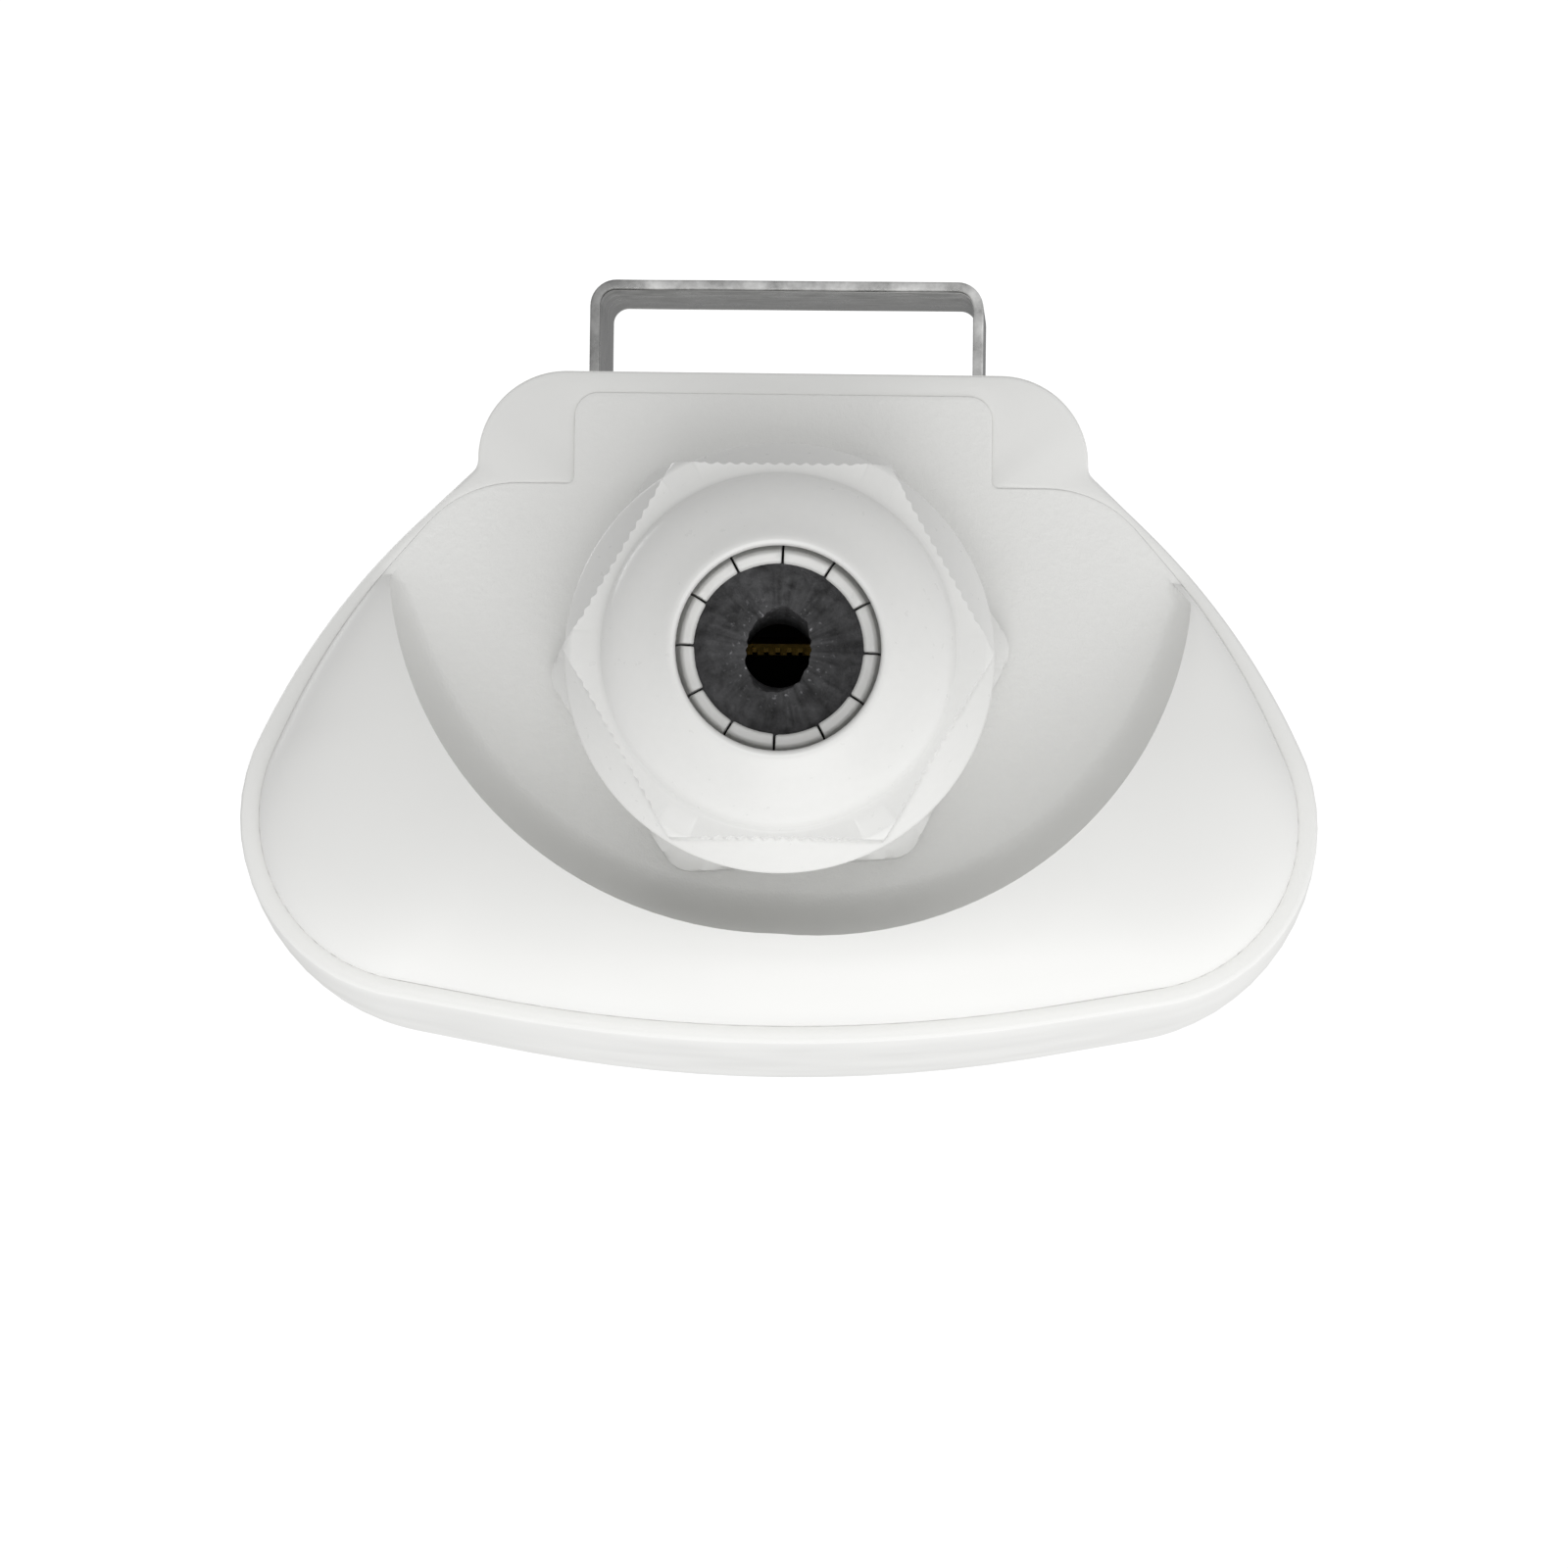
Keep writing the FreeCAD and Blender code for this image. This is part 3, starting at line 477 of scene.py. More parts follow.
def strip_steel():
    """Cold-rolled stainless strip: drawn scratches along its length, painted shade on the faces,
    paler sheared edges with painted light.
    """
    code = colours().steel
    material, tree, shader, where = new_material("Rolled stainless strip", linear(code), 0.30, 1.0)
    shader.inputs["Anisotropic"].default_value = 0.4
    # Scratches a fraction of a millimetre wide run round the loop: noise squeezed along Z.
    squeezed = add(tree, "ShaderNodeMapping", {"Scale": (1.0, 1.0, 14.0)}, Vector=where)
    lines = add(tree, "ShaderNodeTexNoise", {"Scale": per_mm(1.6), "Detail": 5.0,
                                             "Roughness": 0.7}, Vector=squeezed.outputs[0])
    streak = add(tree, "ShaderNodeMapRange", {1: 0.35, 2: 0.65}, i0=lines.outputs["Fac"])
    # Painted shade: the faces take only 0.25 to 0.65 of the steel colour, a painted stand-in for
    # the dark reflections and shade inside the loop; the scratches ride on it.
    dark = add(tree, "ShaderNodeMix", {"data_type": "RGBA", 6: shade(code, 0.25),
                                       7: shade(code, 0.65)}, i0=streak.outputs[0])
    # Sheared edges 10 mm either side of the middle: paler, blotched every 2 mm or so; the paleness
    # is partly the duller cut and partly painted light on the edge that faces the lamps.
    parts = add(tree, "ShaderNodeSeparateXYZ", None, Vector=where)
    level = add(tree, "ShaderNodeMath", {"operation": "ABSOLUTE"}, i0=parts.outputs["Z"])
    edge = add(tree, "ShaderNodeMapRange", {1: 9.2 * MM, 2: 9.5 * MM}, i0=level.outputs[0])
    blotch = add(tree, "ShaderNodeTexNoise", {"Scale": per_mm(1.8), "Detail": 5.0,
                                              "Roughness": 0.65}, Vector=where)
    patch = add(tree, "ShaderNodeMapRange", {1: 0.35, 2: 0.65}, i0=blotch.outputs["Fac"])
    pale = add(tree, "ShaderNodeMix", {"data_type": "RGBA", 6: shade(code, 0.7),
                                       7: shade(code, 1.5)}, i0=patch.outputs[0])
    colour = add(tree, "ShaderNodeMix", {"data_type": "RGBA"}, i0=edge.outputs[0],
                 i6=dark.outputs[2], i7=pale.outputs[2])
    tree.links.new(colour.outputs[2], shader.inputs["Base Color"])
    # Rolling and handling leave the gloss uneven.
    gloss = add(tree, "ShaderNodeMapRange", {1: 0.3, 2: 0.7, 3: 0.22, 4: 0.42},
                i0=blotch.outputs["Fac"])
    tree.links.new(gloss.outputs[0], shader.inputs["Roughness"])
    bump = add(tree, "ShaderNodeBump", {"Strength": 0.3, "Distance": 0.03 * MM},
               Height=lines.outputs["Fac"])
    tree.links.new(bump.outputs["Normal"], shader.inputs["Normal"])
    return material


def worn(name, code, roughness, size, metal=True):
    """Metal with handling marks, or moulded plastic with a grain, of a given size."""
    material, tree, shader, where = new_material(name, linear(code), roughness, float(metal))
    # Marks dull the tone a little; on metal they also break up the gloss, as rubbing does.
    marks = add(tree, "ShaderNodeTexNoise", {"Scale": per_mm(size), "Roughness": 0.6,
                                             "Detail": 4.0 if metal else 3.0}, Vector=where)
    tone = add(tree, "ShaderNodeMapRange", {1: 0.35, 2: 0.65}, i0=marks.outputs["Fac"])
    colour = add(tree, "ShaderNodeMix", {"data_type": "RGBA", 7: linear(code),
                                         6: shade(code, 0.82 if metal else 0.85)},
                 i0=tone.outputs[0])
    tree.links.new(colour.outputs[2], shader.inputs["Base Color"])
    if metal:
        gloss = add(tree, "ShaderNodeMapRange", {1: 0.3, 2: 0.7, 3: roughness - 0.06,
                                                 4: roughness + 0.08}, i0=marks.outputs["Fac"])
        tree.links.new(gloss.outputs[0], shader.inputs["Roughness"])
    strength, depth = (0.12, 0.03) if metal else (0.15, 0.05)
    bump = add(tree, "ShaderNodeBump", {"Strength": strength, "Distance": depth * MM},
               Height=marks.outputs["Fac"])
    tree.links.new(bump.outputs["Normal"], shader.inputs["Normal"])
    return material


MAKERS = {
    "white_shell": (moulded_shell,),
    "white_cap": (moulded_cap,),
    "white_nylon": (moulded_nylon,),
    "dark_rubber": (torn_rubber,),
    "strap_steel": (strip_steel,),
    # A2 stainless screws, cold headed: bright, with slight handling marks.
    "screw_steel": (worn, "Headed stainless", "CFCFD0", 0.28, 0.8),
    # Turned brass insert.
    "brass": (worn, "Turned brass", "C9A961", 0.30, 0.5),
    # Tinned steel sheet: pale, with a soft bloom.
    "tin_shield": (worn, "Tinned sheet", "CFCFCB", 0.36, 1.5),
    # Flash gold over nickel on contacts.
    "gold_contact": (worn, "Flash gold", "D9B45B", 0.22, 0.4),
    # Mill-finish aluminium sheet.
    "aluminium": (worn, "Mill aluminium", "D6D7D9", 0.34, 1.2),
    # Etched copper foil, slightly dulled by handling.
    "copper": (worn, "Etched copper", "C9825C", 0.32, 1.0),
    # Glass-filled nylon: grey and matt.
    "grey_plastic": (worn, "Filled grey nylon", "6A6C6E", 0.55, 0.4, False),
    # Epoxy moulding compound: near black and matt.
    "black_plastic": (worn, "Epoxy moulding", "1F2022", 0.50, 0.3, False),
    # Green solder mask over glass laminate: the weave shows faintly.
    "board_green": (worn, "Solder mask", "1E6B3C", 0.32, 0.9, False),
}
MADE = {}


def finish_of(slot):
    """The material of a slot, made once."""
    if slot not in MADE:
        maker, *values = MAKERS[slot]
        MADE[slot] = maker(*values)
    return MADE[slot]


# ------------------------------------------------------------------------------- stage

class UNIT_OT_stage(Operator):
    """Build the pale floor, the soft lamps and the camera."""
    bl_idname = "unit.stage"
    bl_label = "Stage and camera"

    def execute(self, context):
        scene = context.scene
        scene.view_settings.view_transform = "Standard"
        self.camera(scene)
        self.floor()
        self.sky(scene)
        self.lamp("lamp_key", (0.0, -0.42, -1.6), 0.35, 2.2)
        self.lamp("lamp_front", (-0.25, -1.2, -0.8), 0.9, 2.6)
        self.lamp("lamp_above", (0.9, 0.7, 1.3), 1.0, 5.0)
        return {"FINISHED"}

    def camera(self, scene):
        """Long lens below the unit, looking up its length."""
        data = bpy.data.cameras.new("camera")
        data.sensor_width = 36.0
        data.lens = 164.6
        data.clip_start = 0.05
        data.clip_end = 50.0
        camera = bpy.data.objects.new("camera", data)
        scene.collection.objects.link(camera)
        tilt = math.radians(1.566)
        pan = math.radians(-0.314)
        roll = math.radians(0.7)
        ahead = Vector((-math.sin(pan), math.sin(tilt), math.cos(tilt))).normalized()
        right = ahead.cross(Vector((0, 1, 0))).normalized()
        above = right.cross(ahead).normalized()
        side = right * math.cos(roll) + above * math.sin(roll)
        top = above * math.cos(roll) - right * math.sin(roll)
        turn = Matrix((side, top, -ahead)).transposed().to_4x4()
        camera.matrix_world = Matrix.Translation(Vector((-3.7, -66.95, -695.0)) * MM) @ turn
        scene.camera = camera

    def floor(self):
        """Plain pale floor well below the unit."""
        mesh = bpy.data.meshes.new("floor")
        reach = 9.0
        corners = [(-reach, -reach, -1.7), (reach, -reach, -1.7), (reach, reach, -1.7),
                   (-reach, reach, -1.7)]
        mesh.from_pydata(corners, [], [(0, 1, 2, 3)])
        floor = bpy.data.objects.new("floor", mesh)
        bpy.context.scene.collection.objects.link(floor)
        # Matt painted board: pale, with a barely visible roller texture.
        material, tree, shader, where = new_material("Matt painted board",
                                                     linear(colours().floor), 0.9)
        marks = add(tree, "ShaderNodeTexNoise", {"Scale": per_mm(8.0)}, Vector=where)
        bump = add(tree, "ShaderNodeBump", {"Strength": 0.05, "Distance": 0.3 * MM},
                   Height=marks.outputs["Fac"])
        tree.links.new(bump.outputs["Normal"], shader.inputs["Normal"])
        mesh.materials.append(material)
        # Seen, but without a bounce of its own: the surround alone shapes the soft light.
        floor.visible_diffuse = False
        floor.visible_glossy = False
        floor.visible_shadow = False

    def sky(self, scene):
        """White surround whose light is strongest from the front and one side."""
        world = bpy.data.worlds.new("white surround")
        world.use_nodes = True
        tree = world.node_tree
        back = tree.nodes["Background"]
        back.inputs["Color"].default_value = (1.0, 1.0, 1.0, 1.0)
        ways = add(tree, "ShaderNodeTexCoord").outputs["Generated"]
        parts = add(tree, "ShaderNodeSeparateXYZ", None, Vector=ways)
        front = add(tree, "ShaderNodeMapRange", {1: -1.0, 2: 1.0, 3: 1.08, 4: 0.48},
                    i0=parts.outputs["Y"])
        side = add(tree, "ShaderNodeMapRange", {1: -1.0, 2: 1.0, 3: 0.14, 4: -0.14},
                   i0=parts.outputs["X"])
        zenith = add(tree, "ShaderNodeMapRange", {1: 0.86, 2: 0.97, 3: 0.0, 4: -0.5},
                     i0=parts.outputs["Z"])
        total = front
        for part in (side, zenith):
            total = add(tree, "ShaderNodeMath", {"operation": "ADD"}, i0=total.outputs[0],
                        i1=part.outputs[0])
        # The eye sees plain white; only the light it gives is uneven.
        ray = add(tree, "ShaderNodeLightPath").outputs["Is Camera Ray"]
        seen = add(tree, "ShaderNodeMix", {"data_type": "FLOAT", 3: 1.1}, i0=ray,
                   i2=total.outputs[0])
        tree.links.new(seen.outputs[0], back.inputs["Strength"])
        scene.world = world

    def lamp(self, name, spot, size, power):
        """Square soft lamp aimed at the lower end of the unit."""
        data = bpy.data.lights.new(name, "AREA")
        data.shape = "SQUARE"
        data.size = size
        data.energy = power
        data.color = colours().sun
        lamp = bpy.data.objects.new(name, data)
        bpy.context.scene.collection.objects.link(lamp)
        lamp.location = spot
        aim = Vector((0.0, -0.04, -0.10)) - Vector(spot)
        lamp.rotation_mode = "QUATERNION"
        lamp.rotation_quaternion = aim.to_track_quat("-Z", "Y")


# ------------------------------------------------------------------------------ sleeve

class UNIT_OT_sleeve(Operator):
    """Build the barrel-shaped sleeve with its hump, mouth, ledge and inner pillars."""
    bl_idname = "unit.sleeve"
    bl_label = "Sleeve"

    hub = Vector((0.0, -38.0))

    def execute(self, context):
        mouth = mirrored(CAP_FRONT, CAP_HALF)
        self.rays = [p - self.hub for p in rounded(mouth, 14, 14)]
        rings = []
        for t in range(25):
            z = RIM + 0.6 + (90.0 - RIM - 0.6) * t / 24
            rings.append(self.outer(z, 0.0))
        for z, step in ((91.4, -0.2), (92.8, -0.62), (94.1, -1.25), (95.2, -2.15),
                        (96.1, -3.2), (96.7, -4.3), (96.97, -5.4)):
            rings.append(self.outer(z, step))
        crown = rings[-1]
        middle = Vector((0.0, -45.0, 96.97))
        for t in (0.25, 0.5, 0.75, 0.9):
            rings.append([p.lerp(middle, t) for p in crown])
        lip = [self.outer(RIM + 0.32, -0.04, True), self.outer(RIM + 0.1, -0.16, True),
               self.outer(RIM, -0.42, True)]
        brink = self.ring(grown(mouth, 0.005), RIM, True)
        edge = [self.toward(brink, lip[-1], share, up)
                for share, up in ((0.12, 0.0), (0.05, 0.02), (0.01, 0.05), (0.0, 0.09))]
        edge += [self.ring(grown(mouth, 0.15), RIM + 1.2), self.ring(grown(mouth, 0.15), LEDGE)]
        inside = []
        for z in (LEDGE, -70.0, -45.0, -20.0, 5.0, 30.0, 55.0, 75.0, 88.0):
            inside.append(self.outer(z, -2.2))
        inside += [self.outer(91.2, -3.2), self.outer(92.0, -5.0)]
        deep = inside[-1]
        middle = Vector((0.0, -45.0, 92.0))
        for t in (0.3, 0.6, 0.9):
            inside.append([p.lerp(middle, t) for p in deep])
        sleeve = make_piece("sleeve", rings[::-1] + lip + edge + inside, 38)
        dress(sleeve, "housing", "white_shell", "sleeve_housing")
        self.pillars()
        return {"FINISHED"}

    def bulge(self, z):
        """Bulge of the barrel at a level: 0 at the rim, 1 half way up."""
        t = max(-1.0, min(1.0, (z + 2.0) / 95.0))
        return 1.0 - abs(t) ** 2.1

    def ring(self, corners, z, rear=False):
        """Ring on an outline; the hump's end face lies a little above the rim."""
        points = crossings(self.hub, self.rays, rounded(corners, 24, 24))
        return [Vector((p.x, p.y, z + (self.rise(p.y) if rear else 0.0))) for p in points]

    def outer(self, z, step, rear=False):
        """Ring on the sleeve's own outline at a level."""
        return self.ring(sleeve_outline(self.bulge(z), step), z, rear)

    def rise(self, y):
        """How far the end face of the hump stands back from the cap."""
        t = max(0.0, min(1.0, (y + 27.0) / 4.0))
        return 0.30 * t * t * (3 - 2 * t)

    def toward(self, ring, other, share, up):
        """Ring part of the way to another one, moved up a little."""
        return [Vector((a.x + (b.x - a.x) * share, a.y + (b.y - a.y) * share, a.z + up))
                for a, b in zip(ring, other)]

    def pillars(self):
        """Insert boss and screw pillars on the inside of the hump."""
        made = []
        for name, z, r, hole, front in (("boss", 0.0, 8.0, 4.0, -22.95),
                                        ("pillar_high", 62.0, 3.5, 1.25, -28.95),
                                        ("pillar_low", -52.0, 3.5, 1.25, -28.95)):
            rear = -17.9
            profile = soften(((hole, front), (r, front), (r, rear), (hole, rear)), 0.4)
            rings = []
            for radius, y in profile:
                rings.append([Vector((radius * math.cos(a), y, z + radius * math.sin(a)))
                              for a in [2 * math.pi * k / 48 for k in range(48)]])
            made.append(make_piece(name, rings, 40, True))
        dress(join_pieces("sleeve_pillars", made), "housing", "white_shell")


# --------------------------------------------------------------------------------- cap

class UNIT_OT_cap(Operator):
    """Build the end cap: flat, tongue, scooped gland recess and front bumper."""
    bl_idname = "unit.cap"
    bl_label = "End cap"

    tip = math.radians(84.0)
    hub = Vector((0.0, RECESS_Y))
    outline = mirrored(CAP_FRONT, CAP_HALF)

    def execute(self, context):
        rays = [p - self.hub for p in rounded(grown(self.outline, -0.005), 22, 26)]
        rings = []
        for t in (0.0, 0.2, 0.4, 0.6, 0.8, 0.92):
            rings.append(self.flat(rays, t))
        for k in range(21):
            rings.append(self.scoop_ring(rays, k / 20))
        for k in range(1, 19):
            rings.append(self.crown_ring(rays, k / 18))
        for drop, step in ((0.08, 0.0), (0.25, 0.0), (0.6, 0.0), (0.9, -0.12), (3.0, -0.14)):
            shrunk = rounded(grown(self.outline, step - 0.005), 22, 26)
            rings.append(level(shrunk, RIM + 0.05 + drop))
        for step, z in ((-2.6, RIM + 3.4), (-2.6, RIM + 14.0), (-2.9, RIM + 14.5),
                        (-4.3, RIM + 14.5), (-4.6, RIM + 14.0), (-4.6, RIM + 3.2)):
            rings.append(level(rounded(grown(self.outline, step), 22, 26), z))
        cap = make_piece("end_cap_moulding", rings, 50)
        # Hole for the gland's stem.
        drill(cap, [circle(96, 12.6, z) for z in (RIM - 3.0, RIM + 8.0)])
        dress(cap, "cap", "white_shell", "end_cap", finish="white_cap")
        self.gasket()
        return {"FINISHED"}

    def angle(self, ray):
        """Angle of a spoke from the front of the cap."""
        return math.atan2(ray.x, -ray.y)

    def rise(self, ray):
        """Height of the bumper's lip on a spoke."""
        share = math.cos(min(abs(self.angle(ray)), self.tip) * (math.pi / 2) / self.tip)
        return sizes().bumper_rise / MM * max(0.0, share) ** 0.55

    def lip_at(self, ray):
        """Distance of the lip from the recess axis; one side is pulled out a little."""
        pull = 1.9 * max(0.0, math.sin(-1.5 * self.angle(ray)))
        return min(sizes().recess_radius / MM + pull, ray.length - 0.75)

    def foot_at(self, ray):
        """Distance of the foot of the scoop from the recess axis."""
        share = self.rise(ray) / (sizes().bumper_rise / MM)
        return self.lip_at(ray) - 3.7 * max(share, 0.02) ** 0.5

    def roll(self, ray):
        """How far the wall has changed from hollow at the front to rolled at the ends."""
        return 0.25 * math.sin(min(abs(self.angle(ray)), 1.5)) ** 2

    def spot(self, ray, distance, height):
        """Point on the lower face of the cap."""
        p = self.hub + ray.normalized() * distance
        return Vector((p.x, p.y, RIM - height))

    def flat(self, rays, t):
        """Ring on the flat inside the scoop."""
        return [self.spot(ray, max(0.3, self.foot_at(ray)) * (t + 0.01), 0.0) for ray in rays]

    def scoop_ring(self, rays, t):
        """Ring on the wall: hollow with a crisp lip at the front, a soft S at the ends."""
        ring = []
        turn = t * math.pi / 2
        for ray in rays:
            foot = self.foot_at(ray)
            lip = self.lip_at(ray)
            roll = self.roll(ray)
            along = math.sin(turn) + (t - math.sin(turn)) * roll
            up = 1 - math.cos(turn) + (3 * t ** 2 - 2 * t ** 3 - 1 + math.cos(turn)) * roll
            ring.append(self.spot(ray, foot + (lip - foot) * along,
                                  self.rise(ray) * up))
        return ring

    def crown_ring(self, rays, t):
        """Ring on the convex face between the lip and the rim."""
        ring = []
        for ray in rays:
            lip = self.lip_at(ray)
            high = self.rise(ray)
            distance = lip + (ray.length - lip) * math.sin(t * math.pi / 2)
            height = high * math.cos(t * math.pi / 2) ** 0.9
            edge = 0.05 * max(0.0, 1 - (ray.length - distance) / 0.5) ** 2
            ring.append(self.spot(ray, distance, height - edge))
        return ring

    def gasket(self):
        """Flat gasket behind the flange."""
        outer = grown(self.outline, -0.7)
        inner = grown(self.outline, -2.6)
        low, high = RIM + 3.2, RIM + 4.7
        rings = [level(rounded(inner), low), level(rounded(outer), low),
                 level(rounded(grown(outer, 0.0)), high - 0.2),
                 level(rounded(grown(outer, -0.2)), high), level(rounded(inner), high)]
        dress(make_piece("cap_gasket", rings, 40, True), "cap", "dark_rubber", "end_cap_gasket")


# ------------------------------------------------------------------------------- gland

def hex_reach(angle, apothem, corner, turn=0.0):
    """Distance from the axis to the side of a hexagon with rounded corners."""
    local = (angle - turn) % (math.pi / 3) - math.pi / 6
    straight = apothem / math.cos(local)
    limit = corner
    soft = 0.35
    over = straight - limit
    if over > soft:
        return limit
    if over < -soft:
        return straight
    return straight - (over + soft) ** 2 / (4 * soft)


class UNIT_OT_gland_body(Operator):
    """Build the gland body with its hexagon, neck and stem."""
    bl_idname = "unit.gland_body"
    bl_label = "Gland body"

    def execute(self, context):
        turn = math.radians(-4.4)
        profile = [(8.3, 21.0), (12.6, 21.0), (13.2, 20.6)]
        for k in range(10):
            h = 20.0 - 1.25 * k
            profile += [(13.2, h), (13.2, h - 0.35), (12.75, h - 0.6), (12.75, h - 0.95)]
        rings = turned(profile, 240)
        steps = [(13.2, 7.5, False), (15.2, 7.5, False), (16.4, 7.48, True), (17.5, 7.2, True),
                 (18.4, 6.75, True), (30.0, 6.3, True), (30.0, 5.0, True), (30.0, 3.0, True),
                 (30.0, 1.2, True), (18.9, 0.5, True), (18.3, 0.15, True), (17.6, 0.02, True),
                 (15.4, 0.0, False), (15.4, 1.1, False), (13.6, 1.1, False), (13.6, 0.0, False),
                 (12.5, 0.0, False)]
        for limit, h, six in steps:
            ring = []
            for k in range(240):
                angle = 2 * math.pi * k / 240
                reach = min(limit, hex_reach(angle, 16.8, 19.0, turn)) if six else limit
                ring.append(Vector((reach * math.cos(angle), GLAND_Y + reach * math.sin(angle),
                                    RIM - h)))
            rings.append(ring)
        stem = [(12.5, -0.8)]
        for k in range(6):
            h = -1.5 - 1.5 * k
            stem += [(12.5, h), (12.1, h - 0.4), (12.1, h - 0.75), (12.5, h - 1.1)]
        stem += [(12.1, -12.0), (8.3, -12.0), (8.3, -4.0), (8.3, 4.0), (8.3, 14.0), (10.97, 14.0),
                 (10.97, 20.8)]
        rings += turned(stem, 240)
        del rings[0]
        dress(make_piece("gland_body_moulding", rings, 35, True), "cap", "white_nylon",
              "gland_body")
        return {"FINISHED"}


class UNIT_OT_claw(Operator):
    """Build the ring of clamping fingers."""
    bl_idname = "unit.claw"
    bl_label = "Clamping fingers"

    def execute(self, context):
        total = sizes().fingers
        base = soften(((9.7, 14.0), (10.95, 14.0), (10.95, 20.4), (10.6, 21.3), (9.4, 21.3),
                       (9.7, 20.0)), 0.2)
        made = [make_piece("claw_ring", turned(base, 144), 40, True)]
        for i in range(total):
            middle = math.radians(2.0 + 15.0) + 2 * math.pi * i / total
            made.append(self.finger(i, middle, 2 * math.pi / total))
        dress(join_pieces("clamping_fingers", made), "cap", "white_nylon", "gland_claw")
        return {"FINISHED"}

    def finger(self, index, middle, share):
        """One tapered finger bent in towards the seal, rounded at its end."""
        profile = soften(((9.45, 21.0), (10.6, 21.0), (10.5, 21.8), (7.9, 30.4), (7.65, 30.6),
                          (7.0, 30.5), (6.75, 30.0), (9.3, 21.8)), 0.25)
        lean = 0.22 * noise.noise(Vector((index * 1.7, 3.1, 0.4)))
        rings = []
        for t in (-1.0, -0.97, -0.88, -0.7, -0.35, 0.0, 0.35, 0.7, 0.88, 0.97, 1.0):
            pinch = 0.22 if abs(t) > 0.98 else 0.07 if abs(t) > 0.95 else 0.0
            hub = Vector((8.7, 25.2))
            ring = []
            for p in profile:
                q = p + (hub - p).normalized() * pinch
                if q.y > 27.0:
                    q.x += lean
                half = share / 2 - 0.10 / q.x
                angle = middle + t * half
                ring.append(Vector((q.x * math.cos(angle), GLAND_Y + q.x * math.sin(angle),
                                    RIM - q.y)))
            rings.append(ring)
        return make_piece("finger_%02d" % index, rings, 45)


class UNIT_OT_seal(Operator):
    """Build the torn rubber seal and the O-ring."""
    bl_idname = "unit.seal"
    bl_label = "Seals"

    count = 220

    def execute(self, context):
        outside = [(9.6, 14.0), (9.6, 17.0), (9.6, 20.0), (9.2, 21.6), (8.4, 24.0), (7.6, 26.4),
                   (6.95, 28.2)]
        rings = turned(outside, self.count)
        for k in range(17):
            rings.append(self.face_ring(k / 16))
        for h in (27.9, 27.0, 25.5, 23.5, 20.0, 16.5, 14.0):
            rings.append(self.hole_ring(h))
        dress(make_piece("seal_rubber", rings, 60, True), "cap", "dark_rubber", "gland_seal")
        self.o_ring()
        return {"FINISHED"}

    def mouth(self, angle):
        """Ragged oval edge of the hole, taller than wide."""
        lean = angle - 0.17
        oval = 1.0 / math.sqrt((math.cos(lean) / 2.6) ** 2 + (math.sin(lean) / 3.5) ** 2)
        spot = Vector((math.cos(angle) * 2.2, math.sin(angle) * 2.2, 3.7))
        return oval + 0.2 * noise.noise(spot) + 0.16 * noise.noise(spot * 3.1)

    def face_ring(self, t):
        """Ring on the crumbly front face, streaked along the radius."""
        ring = []
        for k in range(self.count):
            a = 2 * math.pi * k / self.count
            r = 6.85 + (self.mouth(a) - 6.85) * t
            streak = noise.noise(Vector((math.cos(a) * 9.0, math.sin(a) * 9.0, t * 1.4)))
            crumb = noise.noise(Vector((r * math.cos(a) * 1.3, r * math.sin(a) * 1.3, 9.1)))
            crumb += 0.5 * noise.noise(Vector((r * math.cos(a) * 2.9, r * math.sin(a) * 2.9, 2.3)))
            edge = math.sin(math.pi * min(1.0, max(0.0, t)))
            h = 28.35 - 0.5 * abs(t - 0.3) + 0.34 * (streak + crumb) * (0.25 + 0.75 * edge)
            ring.append(Vector((r * math.cos(a), GLAND_Y + r * math.sin(a),
                                RIM - min(28.6, h))))
        return ring

    def hole_ring(self, h):
        """Ring inside the hole, easing to a round bore."""
        ring = []
        for k in range(self.count):
            a = 2 * math.pi * k / self.count
            ease = max(0.0, min(1.0, (h - 24.0) / 4.0))
            r = 2.8 + (self.mouth(a) - 2.8) * ease
            ring.append(Vector((r * math.cos(a), GLAND_Y + r * math.sin(a), RIM - h)))
        return ring

    def o_ring(self):
        """Cord ring under the gland's hexagon."""
        rings = []
        for k in range(20):
            t = 2 * math.pi * k / 20
            rings.append(circle(160, 14.5 + 0.75 * math.cos(t),
                                RIM - (0.75 + 0.75 * math.sin(t))))
        dress(make_piece("body_o_ring", rings, closed=True), "cap", "dark_rubber",
              "gland_o_ring")


